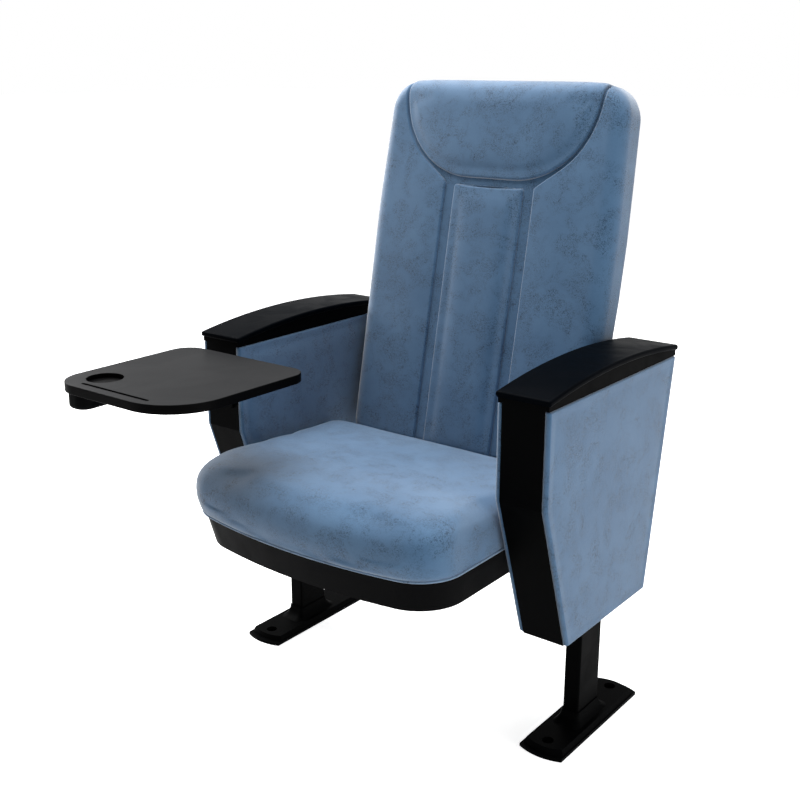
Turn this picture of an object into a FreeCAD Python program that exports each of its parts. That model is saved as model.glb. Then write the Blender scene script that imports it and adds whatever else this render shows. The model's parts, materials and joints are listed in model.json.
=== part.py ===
import FreeCAD, Part
import math
import os

# Tip-up auditorium seat with a writing tablet. Millimetres.
# Origin: centre of the four floor bolt holes, on the floor. +X is the side without the tablet,
# -Y is the seat's front, +Z is up.
V = FreeCAD.Vector

# Floor fixing and posts
FOOT_X = 300.0
BOLT_Y = 103.0
BOLT_R = 5.5
# Half width and half length at the corners; the ends bow out beyond that
FOOT_PLATE = (38.0, 125.5)
FOOT_COVER_LOW = (35.5, 117.0)
FOOT_COVER_HIGH = (32.0, 113.5)
FOOT_BULGE = 8.5
FOOT_PLATE_T = 5.0
FOOT_COVER_TOP = 13.5
# Rise above the cover's flat top, and how far it stands out from the post in X and in Y
FOOT_FLARE = ((-1.0, 13.0, 26.0), (3.0, 7.5, 14.0), (9.0, 4.0, 6.5), (20.0, 2.0, 2.5))
COVER_HOLE_R = 9.5
POST_HALF_X = 14.0
POST_Y = (-34.0, 32.0)
POST_WALL = 2.5
POST_CORNER_R = 3.0
POST_TOP = 566.0

# Arm box: side outline in Y and Z, and the layers across it in X
ARM_FRONT_Y = -203.3
ARM_TOP_Z = 586.0
ARM_KINK_Z = 439.5
ARM_BOTTOM_Z = 198.3
ARM_BOTTOM_Y = (-124.2, 129.3)
ARM_BACK_TOP_Y = 192.0
ARM_REACH_X = (200.0, 400.0)
ARM_REACH_Y = (-400.0, 400.0)
ARM_OUTLINE = [
    (ARM_FRONT_Y, ARM_TOP_Z),
    (ARM_FRONT_Y, ARM_KINK_Z),
    (ARM_BOTTOM_Y[0], ARM_BOTTOM_Z),
    (ARM_BOTTOM_Y[1], ARM_BOTTOM_Z),
    (ARM_BACK_TOP_Y, ARM_TOP_Z),
]
TRIM_T = 3.0
BASE_T = 12.0
INNER_PAD_X = (252.5, 261.5)
INNER_BOARD_X = (261.5, 267.5)
OUTER_BOARD_X = (325.0, 331.0)
OUTER_PAD_X = (331.0, 340.0)
TRIM_X = (INNER_PAD_X[1], OUTER_PAD_X[0])
PAD_INSET = 0.5
PAD_EDGE_R = 3.5
CAP_X = (251.5, 341.0)
CAP_Y = (-206.3, 195.0)
CAP_TOP_Z = (602.0, 618.5, 603.3)
CAP_T = 9.0
CAP_CORE_X = (255.0, 337.5)
CAP_EDGE_R = 3.5
CAP_SCREW_Y = (-20.0, 18.0)
CAP_SCREW_R = 2.5
CAP_SCREW_HEAD = 3.5
POST_TOP_T = 4.0

# Seat pivot: a shaft on each side that turns in a nylon bush in the post
PIVOT_Y = -15.0
PIVOT_Z = 330.0
SHAFT_R = 10.0
RUNNING = 0.05
BUSH_R = 13.0
BUSH_FLANGE_R = 17.0
BUSH_FLANGE_T = 2.0
CRANK_X = (316.5, 322.5)
CRANK_REACH = 40.0
CRANK_HALF = 6.0
CRANK_HUB_R = 15.0
BUFFER_R = 6.0
BUFFER_AT = 33.0
BUFFER_GAP = 0.3
SEAT_TIP = 70.0
SPRING_R = 16.5
SPRING_WIRE_R = 1.5
SPRING_PITCH = 3.6
SPRING_TURNS = 3
SPRING_LEG = 20.0
SPRING_CLEAR = 1.1

# Seat: (z, half width, front y, rear y, corner radius) of each level, and the front's bow
BOW_R = 950.0
REAR_CORNER_R = 18.0
PAN_BOTTOM_Z = 295.0
PAN_RIM_Z = 346.0
PAN_BOTTOM = (237.0, -348.5, 38.0, 78.0)
PAN_RIM = (247.0, -361.0, 44.0, 82.0)
PAN_WALL = 4.0
CUSHION_LEVELS = (
    (346.3, 244.5, -361.0, 40.0, 75.0),
    (354.0, 247.0, -369.5, 44.0, 71.0),
    (370.0, 247.5, -376.5, 47.0, 70.0),
    (386.0, 247.5, -377.5, 47.5, 70.0),
    (400.0, 246.5, -371.0, 44.0, 70.0),
    (411.0, 241.5, -356.0, 32.0, 71.0),
    (419.0, 228.5, -329.0, 10.0, 68.0),
    (424.0, 197.0, -282.0, -24.0, 58.0),
    (426.0, 132.0, -212.0, -66.0, 40.0),
)
CUSHION_TILT = 3.6
CUSHION_TILT_Y = -160.0
SEAT_BOARD_T = 12.0
SEAT_BOARD = (222.0, -346.0, 28.0, 64.0)
SUPPORT_T = 3.0
SUPPORT_Y = (-262.0, 20.0)
HINGE_ARM_X = (226.0, 234.0)
HINGE_ARM_Y = (-215.0, 22.0)
HINGE_ARM_Z = (304.0, 331.0)
HINGE_HEAD_R = 15.9
PAN_SCREWS = [(x, y) for x in (-150.0, 150.0) for y in (-235.0, -40.0)]
PAN_BOSS_R = 7.0
PAN_SCREW_R = 2.5
SUPPORT_Z = (PAN_RIM_Z - SEAT_BOARD_T - SUPPORT_T, PAN_RIM_Z - SEAT_BOARD_T)

# Back, in its own frame: u across, v up along the recline, w out of its front face
RECLINE = 11.03
BACK_FOOT_Y = 63.3
BACK_FOOT_Z = 386.0
BACK_LENGTH = 634.0
BACK_HALF_WIDTH = 239.0
BACK_DEPTH = 70.0
BACK_CROWN = 5.0
BACK_FRONT_R = 24.0
BACK_REAR_R = 10.0
BACK_TOP_REAR_R = 28.0
CHANNEL_U = (71.5, 90.0)
CHANNEL_DEPTH = 4.0
CHANNEL_TOP = 470.0
CHANNEL_SLOPE = 3.0
HEAD_SEAM_U = 46.0
HEAD_SEAM_R = 152.0
HEAD_SEAM_V = 623.0
HEAD_SEAM_W = 2.5
SEAM_R = 5.0
BACK_BOARD_T = 10.0
BACK_BOARD_HALF = 205.0
BACK_BOARD_V = (18.0, 598.0)
BACK_BOARD_CORNER = 50.0
COVER_HALF = 197.0
COVER_V = (24.0, 590.0)
COVER_CORNER = 42.0
COVER_DEPTH = 14.0
COVER_WALL = 3.0
COVER_EDGE_R = 9.0
COVER_SCREWS = [(u, v) for u in (-165.0, 165.0) for v in (225.0, 560.0)] + [(0.0, 60.0), (0.0, 560.0)]
COVER_BOSS_R = 8.0
COVER_SCREW_R = 2.0
BRACKET_V = (50.0, 190.0)
BRACKET_T = 4.0
BRACKET_U = 239.5
BRACKET_INNER_U = 190.0
BRACKET_FRONT_W = -20.0
STUD_V = (80.0, 160.0)
STUD_W = -45.0
STUD_R = 4.0
STUD_NUT_R = 7.5
STUD_NUT_T = 6.5
STUD_END = 277.0
SPACER_R = 9.0

# Writing tablet on the -X side: the board turns on a round bar, the bar swings on a pin
BAR_X = -331.5
BAR_Z = 552.5
BAR_R = 9.0
BAR_Y = (-475.0, -262.0)
SWING_Y = -250.0
SWING_PIN_R = 4.0
BAR_HEAD_HALF = 8.0
BAR_HEAD_R = 8.5
TABLET_Z = (564.5, 579.0)
TABLET_FRONT_Y = -500.0
TABLET_REAR_Y = -222.5
TABLET_LEFT_X = (-355.0, -355.0)
TABLET_RIGHT_X = (-81.5, -79.5)
TABLET_CORNERS = (50.0, 90.0, 32.0, 36.0)
TABLET_EDGE_R = 1.2
TABLET_SCREWS = [(-306.0, -405.0), (-306.0, -470.0), (-297.0, -294.0)]
TABLET_SCREW_R = 2.0
CUP_CENTRE = (-299.5, -441.5)
CUP_R = 28.5
CUP_DEPTH = 7.0
GROOVE_Y = -481.5
GROOVE_X = (-300.0, -156.0)
GROOVE_WIDTH = 6.0
GROOVE_DEPTH = 3.0
HOUSING_Y = (-488.0, -392.0)
HOUSING_X = (-343.5, -297.0)
HOUSING_Z = 535.5
HOUSING_EDGE_R = 6.0
HOUSING_CORNER_R = 20.0
KNUCKLE_Y = (-306.0, -282.0)
FLANGE_T = 3.0
FLANGE_X = -288.0
LUG_X = (-320.0, -304.0)
LUG_HEAD_R = 8.0
LUG_FOOT_Z = (482.0, 516.0)
LUG_PLATE_T = 5.0
LUG_PLATE_X = (-330.0, -270.0)
LUG_PLATE_Z = (480.0, 538.0)
LUG_SCREW_X = (-296.0, -278.0)
LUG_SCREW_Z = (494.0, 528.0)
LUG_SCREW_R = 2.5
PIN_PLAY = 0.4
PIN_HEAD_R = 6.0
PIN_NUT_R = 7.0


def save(name, shape):
    """Write one piece and say how large it is."""
    if not shape.isValid():
        print("NOT VALID", name)
    shape.exportStep(os.path.join("parts", name + ".step"))
    print(f"{name:24s} solids {len(shape.Solids)}  volume {shape.Volume / 1000.0:9.2f} cm3")


def block(x, y, z):
    """A box from three (low, high) pairs."""
    size = [abs(pair[1] - pair[0]) for pair in (x, y, z)]
    return Part.makeBox(*size, V(min(x), min(y), min(z)))


def rod_x(radius, x, y, z):
    return Part.makeCylinder(radius, abs(x[1] - x[0]), V(min(x), y, z), V(1, 0, 0))


def rod_y(radius, x, y, z):
    return Part.makeCylinder(radius, y[1] - y[0], V(x, y[0], z), V(0, 1, 0))


def rod_z(radius, x, y, z):
    return Part.makeCylinder(radius, z[1] - z[0], V(x, y, z[0]))


def hex_x(radius, x, y, z):
    """A hexagon nut blank along X, radius to its corners."""
    corners = [math.radians(60 * i) for i in range(7)]
    points = [V(x[0], y + radius * math.cos(a), z + radius * math.sin(a)) for a in corners]
    return Part.Face(Part.makePolygon(points)).extrude(V(x[1] - x[0], 0, 0))


def prism_x(outline, x):
    """Extrude an outline of (y, z) points from x[0] to x[1]."""
    points = [V(x[0], y, z) for y, z in outline]
    return Part.Face(Part.makePolygon(points + points[:1])).extrude(V(x[1] - x[0], 0, 0))


def arc(a, b, c):
    return Part.Arc(a, b, c).toShape()


def line(a, b):
    return Part.LineSegment(a, b).toShape()


def loft(wires, ruled=False):
    return Part.makeLoft(wires, True, ruled)


def mirrored(shape):
    return shape.mirror(V(0, 0, 0), V(1, 0, 0))


def offset_polygon(points, distance):
    """Move every side of an anticlockwise outline inwards by distance."""
    count = len(points)
    moved = []
    for i in range(count):
        before, here, after = points[i - 1], points[i], points[(i + 1) % count]
        sides = []
        for start, end in ((before, here), (here, after)):
            dy, dz = end[0] - start[0], end[1] - start[1]
            length = math.hypot(dy, dz)
            normal = (-dz / length, dy / length)
            reach = normal[0] * start[0] + normal[1] * start[1] + distance
            sides.append((normal, reach))
        (n1, c1), (n2, c2) = sides
        det = n1[0] * n2[1] - n1[1] * n2[0]
        moved.append(((c1 * n2[1] - c2 * n1[1]) / det, (n1[0] * c2 - n2[0] * c1) / det))
    return moved


# Feet and posts

def foot_outline(half, end, z):
    """A strip with bowed ends, from its half width and its half length at the corners."""
    tip = end + FOOT_BULGE
    left, right = FOOT_X - half, FOOT_X + half
    edges = [
        arc(V(left, -end, z), V(FOOT_X, -tip, z), V(right, -end, z)),
        line(V(right, -end, z), V(right, end, z)),
        arc(V(right, end, z), V(FOOT_X, tip, z), V(left, end, z)),
        line(V(left, end, z), V(left, -end, z)),
    ]
    return Part.Wire(edges)


def bolt_holes(radius, z):
    return [rod_z(radius, FOOT_X, y, z) for y in (-BOLT_Y, BOLT_Y)]


def foot_plate():
    plate = Part.Face(foot_outline(*FOOT_PLATE, 0.0)).extrude(V(0, 0, FOOT_PLATE_T))
    for hole in bolt_holes(BOLT_R, (-1.0, FOOT_PLATE_T + 1.0)):
        plate = plate.cut(hole)
    return plate


def rounded_rectangle(half_x, y, radius, z):
    """A rectangle about the post's centre line with rounded corners."""
    left, right = FOOT_X - half_x, FOOT_X + half_x
    bend = radius * (1.0 - math.sqrt(0.5))
    edges = [
        line(V(left + radius, y[0], z), V(right - radius, y[0], z)),
        arc(V(right - radius, y[0], z), V(right - bend, y[0] + bend, z), V(right, y[0] + radius, z)),
        line(V(right, y[0] + radius, z), V(right, y[1] - radius, z)),
        arc(V(right, y[1] - radius, z), V(right - bend, y[1] - bend, z), V(right - radius, y[1], z)),
        line(V(right - radius, y[1], z), V(left + radius, y[1], z)),
        arc(V(left + radius, y[1], z), V(left + bend, y[1] - bend, z), V(left, y[1] - radius, z)),
        line(V(left, y[1] - radius, z), V(left, y[0] + radius, z)),
        arc(V(left, y[0] + radius, z), V(left + bend, y[0] + bend, z), V(left + radius, y[0], z)),
    ]
    return Part.Wire(edges)


def post_prism(grow, z):
    half = POST_HALF_X + grow
    y = (POST_Y[0] - grow, POST_Y[1] + grow)
    return Part.Face(rounded_rectangle(half, y, POST_CORNER_R + grow, z[0])).extrude(V(0, 0, z[1] - z[0]))


def foot_cover():
    """A pressed cover over the plate that sweeps up round the post."""
    low = foot_outline(*FOOT_COVER_LOW, FOOT_PLATE_T)
    high = foot_outline(*FOOT_COVER_HIGH, FOOT_COVER_TOP)
    body = loft([low, high], True)
    sections = []
    for rise, spread_x, spread_y in FOOT_FLARE:
        y = (POST_Y[0] - spread_y, POST_Y[1] + spread_y)
        radius = POST_CORNER_R + spread_x
        sections.append(rounded_rectangle(POST_HALF_X + spread_x, y, radius, FOOT_COVER_TOP + rise))
    cover = body.fuse(loft(sections))
    through = (FOOT_PLATE_T - 1.0, 3.0 * FOOT_COVER_TOP)
    cover = cover.cut(post_prism(0.0, through))
    for hole in bolt_holes(COVER_HOLE_R, through):
        cover = cover.cut(hole)
    return cover


def post():
    """A rectangular tube with a closed top plate, bored for the seat's bush."""
    inside = post_prism(-POST_WALL, (FOOT_PLATE_T - 1.0, POST_TOP - POST_TOP_T))
    tube = post_prism(0.0, (FOOT_PLATE_T, POST_TOP)).cut(inside)
    tube = tube.cut(rod_x(BUSH_R, (FOOT_X - 30, FOOT_X + 30), PIVOT_Y, PIVOT_Z))
    for y in CAP_SCREW_Y:
        tube = tube.cut(rod_z(CAP_SCREW_R, FOOT_X, y, (POST_TOP - POST_TOP_T - 1.0, POST_TOP + 1.0)))
    return tube


# Arm box

def inner_outline(inset):
    """The arm's outline moved in by inset on every side but the top."""
    moved = offset_polygon(ARM_OUTLINE, inset)
    rear_run = (ARM_BACK_TOP_Y - ARM_BOTTOM_Y[1]) / (ARM_TOP_Z - ARM_BOTTOM_Z)
    front_top = (moved[0][0], ARM_TOP_Z)
    rear_top = (moved[4][0] + rear_run * (ARM_TOP_Z - moved[4][1]), ARM_TOP_Z)
    return [front_top, moved[1], moved[2], moved[3], rear_top]


def trim(front):
    """The painted strip down the front or the rear of the arm, turned in under it."""
    band = prism_x(ARM_OUTLINE, TRIM_X).cut(prism_x(inner_outline(TRIM_T), (TRIM_X[0] - 1, TRIM_X[1] + 1)))
    reach = (ARM_REACH_Y[0], 0.0) if front else (0.0, ARM_REACH_Y[1])
    half = band.common(block(ARM_REACH_X, reach, (0.0, ARM_TOP_Z)))
    return half.cut(post_prism(0.0, (FOOT_COVER_TOP, PIVOT_Z)))


def arm_base():
    """The board that closes the arm box below, with the post through it."""
    slab = prism_x(inner_outline(TRIM_T), TRIM_X)
    slab = slab.common(block(ARM_REACH_X, ARM_REACH_Y, (0.0, ARM_BOTTOM_Z + BASE_T)))
    return slab.cut(post_prism(0.0, (FOOT_COVER_TOP, PIVOT_Z)))


def side_board(x):
    board = prism_x(inner_outline(TRIM_T), x)
    return board.common(block(ARM_REACH_X, ARM_REACH_Y, (ARM_BOTTOM_Z + BASE_T, ARM_TOP_Z)))


def side_pad(x, show_x):
    """A thin upholstered panel over the arm's whole side; its edge rolls over where it shows."""
    pad = prism_x(inner_outline(PAD_INSET), x)
    edges = [e for e in pad.Edges if all(abs(p.Point.x - show_x) < 0.01 for p in e.Vertexes)]
    return pad.makeFillet(PAD_EDGE_R, edges)


def inner_side(shape):
    """Open an inner panel for the seat's shaft and for the back's studs."""
    through = (INNER_PAD_X[0] - 5.0, INNER_BOARD_X[1] + 5.0)
    shape = shape.cut(rod_x(BUSH_R, through, PIVOT_Y, PIVOT_Z))
    for v in STUD_V:
        place = back_point(0.0, v, STUD_W)
        shape = shape.cut(rod_x(STUD_R, through, place.y, place.z))
    return shape


def cap_profile(drop_bottom, drop_top, y, x):
    """A face between two copies of the arched line, in the plane X = x."""
    middle = 0.5 * (y[0] + y[1])
    lower = [z - drop_bottom for z in CAP_TOP_Z]
    upper = [z - drop_top for z in CAP_TOP_Z]
    edges = [
        arc(V(x, y[0], lower[0]), V(x, middle, lower[1]), V(x, y[1], lower[2])),
        line(V(x, y[1], lower[2]), V(x, y[1], upper[2])),
        arc(V(x, y[1], upper[2]), V(x, middle, upper[1]), V(x, y[0], upper[0])),
        line(V(x, y[0], upper[0]), V(x, y[0], lower[0])),
    ]
    return Part.Face(Part.Wire(edges))


def arm_cap():
    """The arched armrest, its edges rounded to the hand."""
    slab = cap_profile(CAP_T, 0.0, CAP_Y, CAP_X[0]).extrude(V(CAP_X[1] - CAP_X[0], 0, 0))
    return slab.makeFillet(CAP_EDGE_R, slab.Edges)


def cap_base():
    """The core below the armrest: a full-width wedge on a block between the boards."""
    y = (ARM_FRONT_Y, ARM_BACK_TOP_Y)
    below = max(CAP_TOP_Z) - ARM_TOP_Z
    wide = V(CAP_CORE_X[1] - CAP_CORE_X[0], 0, 0)
    wedge = cap_profile(below + CAP_T, CAP_T, CAP_Y, CAP_CORE_X[0]).extrude(wide)
    wedge = wedge.common(block(ARM_REACH_X, y, (ARM_TOP_Z, max(CAP_TOP_Z))))
    core = prism_x(inner_outline(TRIM_T), (INNER_BOARD_X[1], OUTER_BOARD_X[0]))
    core = core.common(block(ARM_REACH_X, ARM_REACH_Y, (POST_TOP, ARM_TOP_Z)))
    base = wedge.fuse(core).removeSplitter()
    for screw in cap_screws().Solids:
        base = base.cut(screw)
    return base


def cap_screws():
    """Two screws up through the post's top plate into the armrest's core."""
    screws = []
    seat = POST_TOP - POST_TOP_T
    for y in CAP_SCREW_Y:
        shank = rod_z(CAP_SCREW_R, FOOT_X, y, (seat, POST_TOP + 30.0))
        head = rod_z(2.0 * CAP_SCREW_R, FOOT_X, y, (seat - CAP_SCREW_HEAD, seat))
        screws.append(shank.fuse(head))
    return Part.makeCompound(screws)


# Seat pivot parts in the arm

def pivot_bush():
    """The flanged nylon sleeve that the shaft turns in."""
    x = (FOOT_X - POST_HALF_X, FOOT_X + POST_HALF_X + 2.0)
    flange = rod_x(BUSH_FLANGE_R, (x[0] - BUSH_FLANGE_T, x[0]), PIVOT_Y, PIVOT_Z)
    sleeve = rod_x(BUSH_R, x, PIVOT_Y, PIVOT_Z).fuse(flange)
    return sleeve.cut(rod_x(SHAFT_R + RUNNING, (x[0] - 5, x[1] + 5), PIVOT_Y, PIVOT_Z))


def crank_direction(angle):
    """Unit vectors along the crank and ahead of it, at a tip angle in degrees."""
    turn = math.radians(angle)
    along = V(0, math.sin(turn), math.cos(turn))
    ahead = V(0, math.cos(turn), -math.sin(turn))
    return along, ahead


def stop_buffers():
    """Two rubber stops on the post: the crank rests on one, and meets the other when tipped."""
    stops = []
    reach = CRANK_HALF + BUFFER_R + BUFFER_GAP
    for angle, side in ((0.0, -1.0), (SEAT_TIP, 1.0)):
        along, ahead = crank_direction(angle)
        at = V(0, PIVOT_Y, PIVOT_Z) + along * BUFFER_AT + ahead * (side * reach)
        stops.append(rod_x(BUFFER_R, (FOOT_X + POST_HALF_X, CRANK_X[1] - 0.5), at.y, at.z))
    return Part.makeCompound(stops)


def pivot_shaft():
    """The seat's half shaft with the stop crank on its outer end."""
    shaft = rod_x(SHAFT_R, (HINGE_ARM_X[0], CRANK_X[1]), PIVOT_Y, PIVOT_Z)
    hub = rod_x(CRANK_HUB_R, CRANK_X, PIVOT_Y, PIVOT_Z)
    lever = block(CRANK_X, (PIVOT_Y - CRANK_HALF, PIVOT_Y + CRANK_HALF), (PIVOT_Z, PIVOT_Z + CRANK_REACH))
    tip = rod_x(CRANK_HALF, CRANK_X, PIVOT_Y, PIVOT_Z + CRANK_REACH)
    return shaft.fuse([hub, lever, tip]).removeSplitter()


def arc_from_tangent(start, tangent, end):
    """The arc that leaves start along tangent and passes through end."""
    chord = end - start
    half = chord.Length / 2.0
    across = chord * (1.0 / chord.Length)
    angle = across.getAngle(tangent)
    normal = tangent - across * tangent.dot(across)
    normal.normalize()
    return arc(start, start + chord * 0.5 + normal * (half * math.tan(angle / 2.0)), end)


def helix_point(turn, x0):
    angle = 2.0 * math.pi * turn
    place = V(x0 + SPRING_PITCH * turn, PIVOT_Y + SPRING_R * math.sin(angle), PIVOT_Z + SPRING_R * math.cos(angle))
    run = 2.0 * math.pi * SPRING_R
    tangent = V(SPRING_PITCH, run * math.cos(angle), -run * math.sin(angle))
    tangent.normalize()
    return place, tangent


def return_spring():
    """A torsion spring round the shaft: quarter-turn biarcs between two straight legs."""
    x0 = INNER_BOARD_X[1] + SPRING_WIRE_R + SPRING_CLEAR
    start, leaving = helix_point(0.0, x0)
    edges = [line(start - leaving * SPRING_LEG, start)]
    for quarter in range(4 * SPRING_TURNS):
        p0, t0 = helix_point(quarter / 4.0, x0)
        p1, t1 = helix_point((quarter + 1) / 4.0, x0)
        chord = p1 - p0
        both = t0 + t1
        # The arms of the biarc: |chord - reach (t0 + t1)| = 2 reach
        a = both.dot(both) - 4.0
        b = -2.0 * chord.dot(both)
        c = chord.dot(chord)
        reach = (-b - math.sqrt(b * b - 4.0 * a * c)) / (2.0 * a)
        if reach < 0:
            reach = (-b + math.sqrt(b * b - 4.0 * a * c)) / (2.0 * a)
        joint = (p0 + t0 * reach + p1 - t1 * reach) * 0.5
        edges.append(arc_from_tangent(p0, t0, joint))
        edges.append(arc_from_tangent(p1, t1 * -1.0, joint))
    end, ending = helix_point(float(SPRING_TURNS), x0)
    edges.append(line(end, end + ending * SPRING_LEG))
    path = Part.Wire(Part.__sortEdges__(edges))
    section = Part.Wire(Part.makeCircle(SPRING_WIRE_R, start - leaving * SPRING_LEG, leaving))
    spring = path.makePipeShell([section], True, False)
    least_gap = SPRING_PITCH - 2.0 * SPRING_WIRE_R
    print(f"return spring: turns {SPRING_TURNS}, gap between turns {least_gap:.2f} mm")
    return spring


# Seat

def seat_outline(half, front, rear, corner, z):
    """The seat's plan: bowed front, rounded front corners, straight sides, small rear corners."""
    centre_y = front + BOW_R
    corner_x = half - corner
    corner_y = centre_y - math.sqrt((BOW_R - corner) ** 2 - corner_x ** 2)
    aim = V(corner_x, corner_y - centre_y, 0)
    aim.normalize()
    touch = V(0, centre_y, z) + aim * BOW_R
    middle = aim + V(1, 0, 0)
    middle.normalize()
    shoulder = V(corner_x, corner_y, z) + middle * corner
    small = REAR_CORNER_R
    bend = small * (1.0 - math.sqrt(0.5))
    right = [touch, shoulder, V(half, corner_y, z), V(half, rear - small, z),
             V(half - bend, rear - bend, z), V(half - small, rear, z)]
    left = [V(-p.x, p.y, p.z) for p in right]
    edges = [
        arc(left[0], V(0, front, z), right[0]),
        arc(right[0], right[1], right[2]),
        line(right[2], right[3]),
        arc(right[3], right[4], right[5]),
        line(right[5], left[5]),
        arc(left[5], left[4], left[3]),
        line(left[3], left[2]),
        arc(left[2], left[1], left[0]),
    ]
    return Part.Wire(edges)


def seat_cushion():
    """A crowned cushion lofted through level outlines that lean back more towards the top."""
    low, high = CUSHION_LEVELS[0][0], CUSHION_LEVELS[-1][0]
    wires = []
    for z, half, front, rear, corner in CUSHION_LEVELS:
        wire = seat_outline(half, front, rear, corner, z)
        lean = -CUSHION_TILT * (z - low) / (high - low)
        wire.rotate(V(0, CUSHION_TILT_Y, z), V(1, 0, 0), lean)
        wires.append(wire)
    return loft(wires)


def seat_pan():
    """A moulded tray with sloping walls and four bosses for its screws."""
    outer = loft([seat_outline(*PAN_BOTTOM, PAN_BOTTOM_Z), seat_outline(*PAN_RIM, PAN_RIM_Z)], True)
    wires = []
    for (half, front, rear, corner), z in ((PAN_BOTTOM, PAN_BOTTOM_Z), (PAN_RIM, PAN_RIM_Z)):
        wires.append(seat_outline(half - PAN_WALL, front + PAN_WALL, rear - PAN_WALL, corner - PAN_WALL, z))
    inner = loft(wires, True).common(block((-300, 300), (-450, 100), (PAN_BOTTOM_Z + PAN_WALL, 400)))
    pan = outer.cut(inner)
    for x, y in PAN_SCREWS:
        pan = pan.fuse(rod_z(PAN_BOSS_R, x, y, (PAN_BOTTOM_Z + 1, SUPPORT_Z[0])))
    for screw in pan_screws().Solids:
        pan = pan.cut(screw)
    x = (HINGE_ARM_X[1] + 1.0, 260.0)
    for side in (rod_x(SHAFT_R, x, PIVOT_Y, PIVOT_Z), mirrored(rod_x(SHAFT_R, x, PIVOT_Y, PIVOT_Z))):
        pan = pan.cut(side)
    return pan.removeSplitter()


def pan_screws():
    """Four screws from the pan's floor through its bosses into the board."""
    screws = []
    for x, y in PAN_SCREWS:
        shank = rod_z(PAN_SCREW_R, x, y, (PAN_BOTTOM_Z + 3.0, PAN_RIM_Z - 4.0))
        head = rod_z(2.0 * PAN_SCREW_R, x, y, (PAN_BOTTOM_Z + 0.5, PAN_BOTTOM_Z + 3.0))
        screws.append(shank.fuse(head))
    return Part.makeCompound(screws)


def seat_board():
    """The plywood under the cushion, flush with the pan's rim."""
    board = Part.Face(seat_outline(*SEAT_BOARD, SUPPORT_Z[1])).extrude(V(0, 0, SEAT_BOARD_T))
    for screw in pan_screws().Solids:
        board = board.cut(screw)
    return board


def support_plate():
    """The steel plate that joins the two hinge arms below the board."""
    x = HINGE_ARM_X[0]
    plate = block((-x, x), SUPPORT_Y, SUPPORT_Z)
    for screw in pan_screws().Solids:
        plate = plate.cut(screw)
    return plate


def hinge_arm():
    """The flat bar along one side of the seat, with a round head at the pivot."""
    arm = block(HINGE_ARM_X, HINGE_ARM_Y, HINGE_ARM_Z)
    arm = arm.fuse(rod_x(HINGE_HEAD_R, HINGE_ARM_X, PIVOT_Y, PIVOT_Z)).removeSplitter()
    return arm.cut(rod_x(SHAFT_R, (HINGE_ARM_X[0] - 1, HINGE_ARM_X[1] + 1), PIVOT_Y, PIVOT_Z))


# Back

def back_point(u, v, w):
    lean = math.radians(RECLINE)
    y = BACK_FOOT_Y + v * math.sin(lean) - w * math.cos(lean)
    z = BACK_FOOT_Z + v * math.cos(lean) + w * math.sin(lean)
    return V(u, y, z)


def back_direction(u, v, w):
    return back_point(u, v, w) - back_point(0, 0, 0)


def back_block(u, v, w):
    """A box in the back's own frame."""
    corners = [(u[0], w[0]), (u[1], w[0]), (u[1], w[1]), (u[0], w[1])]
    points = [back_point(a, v[0], b) for a, b in corners]
    return Part.Face(Part.makePolygon(points + points[:1])).extrude(back_direction(0, v[1] - v[0], 0))


def back_section(v, half, front, rear, crown, rear_r):
    """Cross-section of the back cushion at height v: bowed front, rolled sides, flat rear."""
    deep = front - rear
    rf = min(BACK_FRONT_R, 0.5 * deep)
    rr = min(rear_r, 0.45 * deep)
    bf, br = rf * (1.0 - math.sqrt(0.5)), rr * (1.0 - math.sqrt(0.5))
    right = [(half - rf, front), (half - bf, front - bf), (half, front - rf),
             (half, rear + rr), (half - br, rear + br), (half - rr, rear)]
    r = [back_point(u, v, w) for u, w in right]
    l = [back_point(-u, v, w) for u, w in right]
    edges = [
        arc(l[0], back_point(0, v, front + crown), r[0]),
        arc(r[0], r[1], r[2]),
        line(r[2], r[3]),
        arc(r[3], r[4], r[5]),
        line(r[5], l[5]),
        arc(l[5], l[4], l[3]),
        line(l[3], l[2]),
        arc(l[2], l[1], l[0]),
    ]
    return Part.Wire(edges)


def back_body():
    """The plain crowned form, drawn in at the bottom and rolled over at the top corners."""
    top = BACK_LENGTH
    half = BACK_HALF_WIDTH
    rear = -BACK_DEPTH
    crown = BACK_CROWN
    low_r, top_r = BACK_REAR_R, BACK_TOP_REAR_R
    # Height, half width, front, rear, crown, rear corner radius
    stations = (
        (0.0, half - 5.0, -9.0, rear + 3.0, crown - 2.0, low_r),
        (6.0, half - 1.5, -3.0, rear + 0.5, crown - 1.0, low_r),
        (18.0, half, 0.0, rear, crown, low_r),
        (80.0, half, 0.0, rear, crown, low_r),
        (200.0, half, 0.0, rear, crown, low_r),
        (320.0, half, 0.0, rear, crown, low_r),
        (440.0, half - 1.0, 0.0, rear, crown, low_r + 4.0),
        (top - 110.0, half - 3.5, 0.0, rear, crown, top_r - 4.0),
        (top - 66.0, half - 7.5, 0.0, rear, crown, top_r),
        (top - 40.0, half - 14.0, -0.5, rear, crown, top_r),
        (top - 20.0, half - 26.0, -3.5, rear + 1.0, crown - 1.0, top_r),
        (top - 8.0, half - 40.0, -9.0, rear + 4.0, crown - 2.0, top_r),
        (top - 1.0, half - 58.0, -17.0, rear + 10.0, crown - 4.0, top_r - 8.0),
    )
    return loft([back_section(*station) for station in stations])


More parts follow.
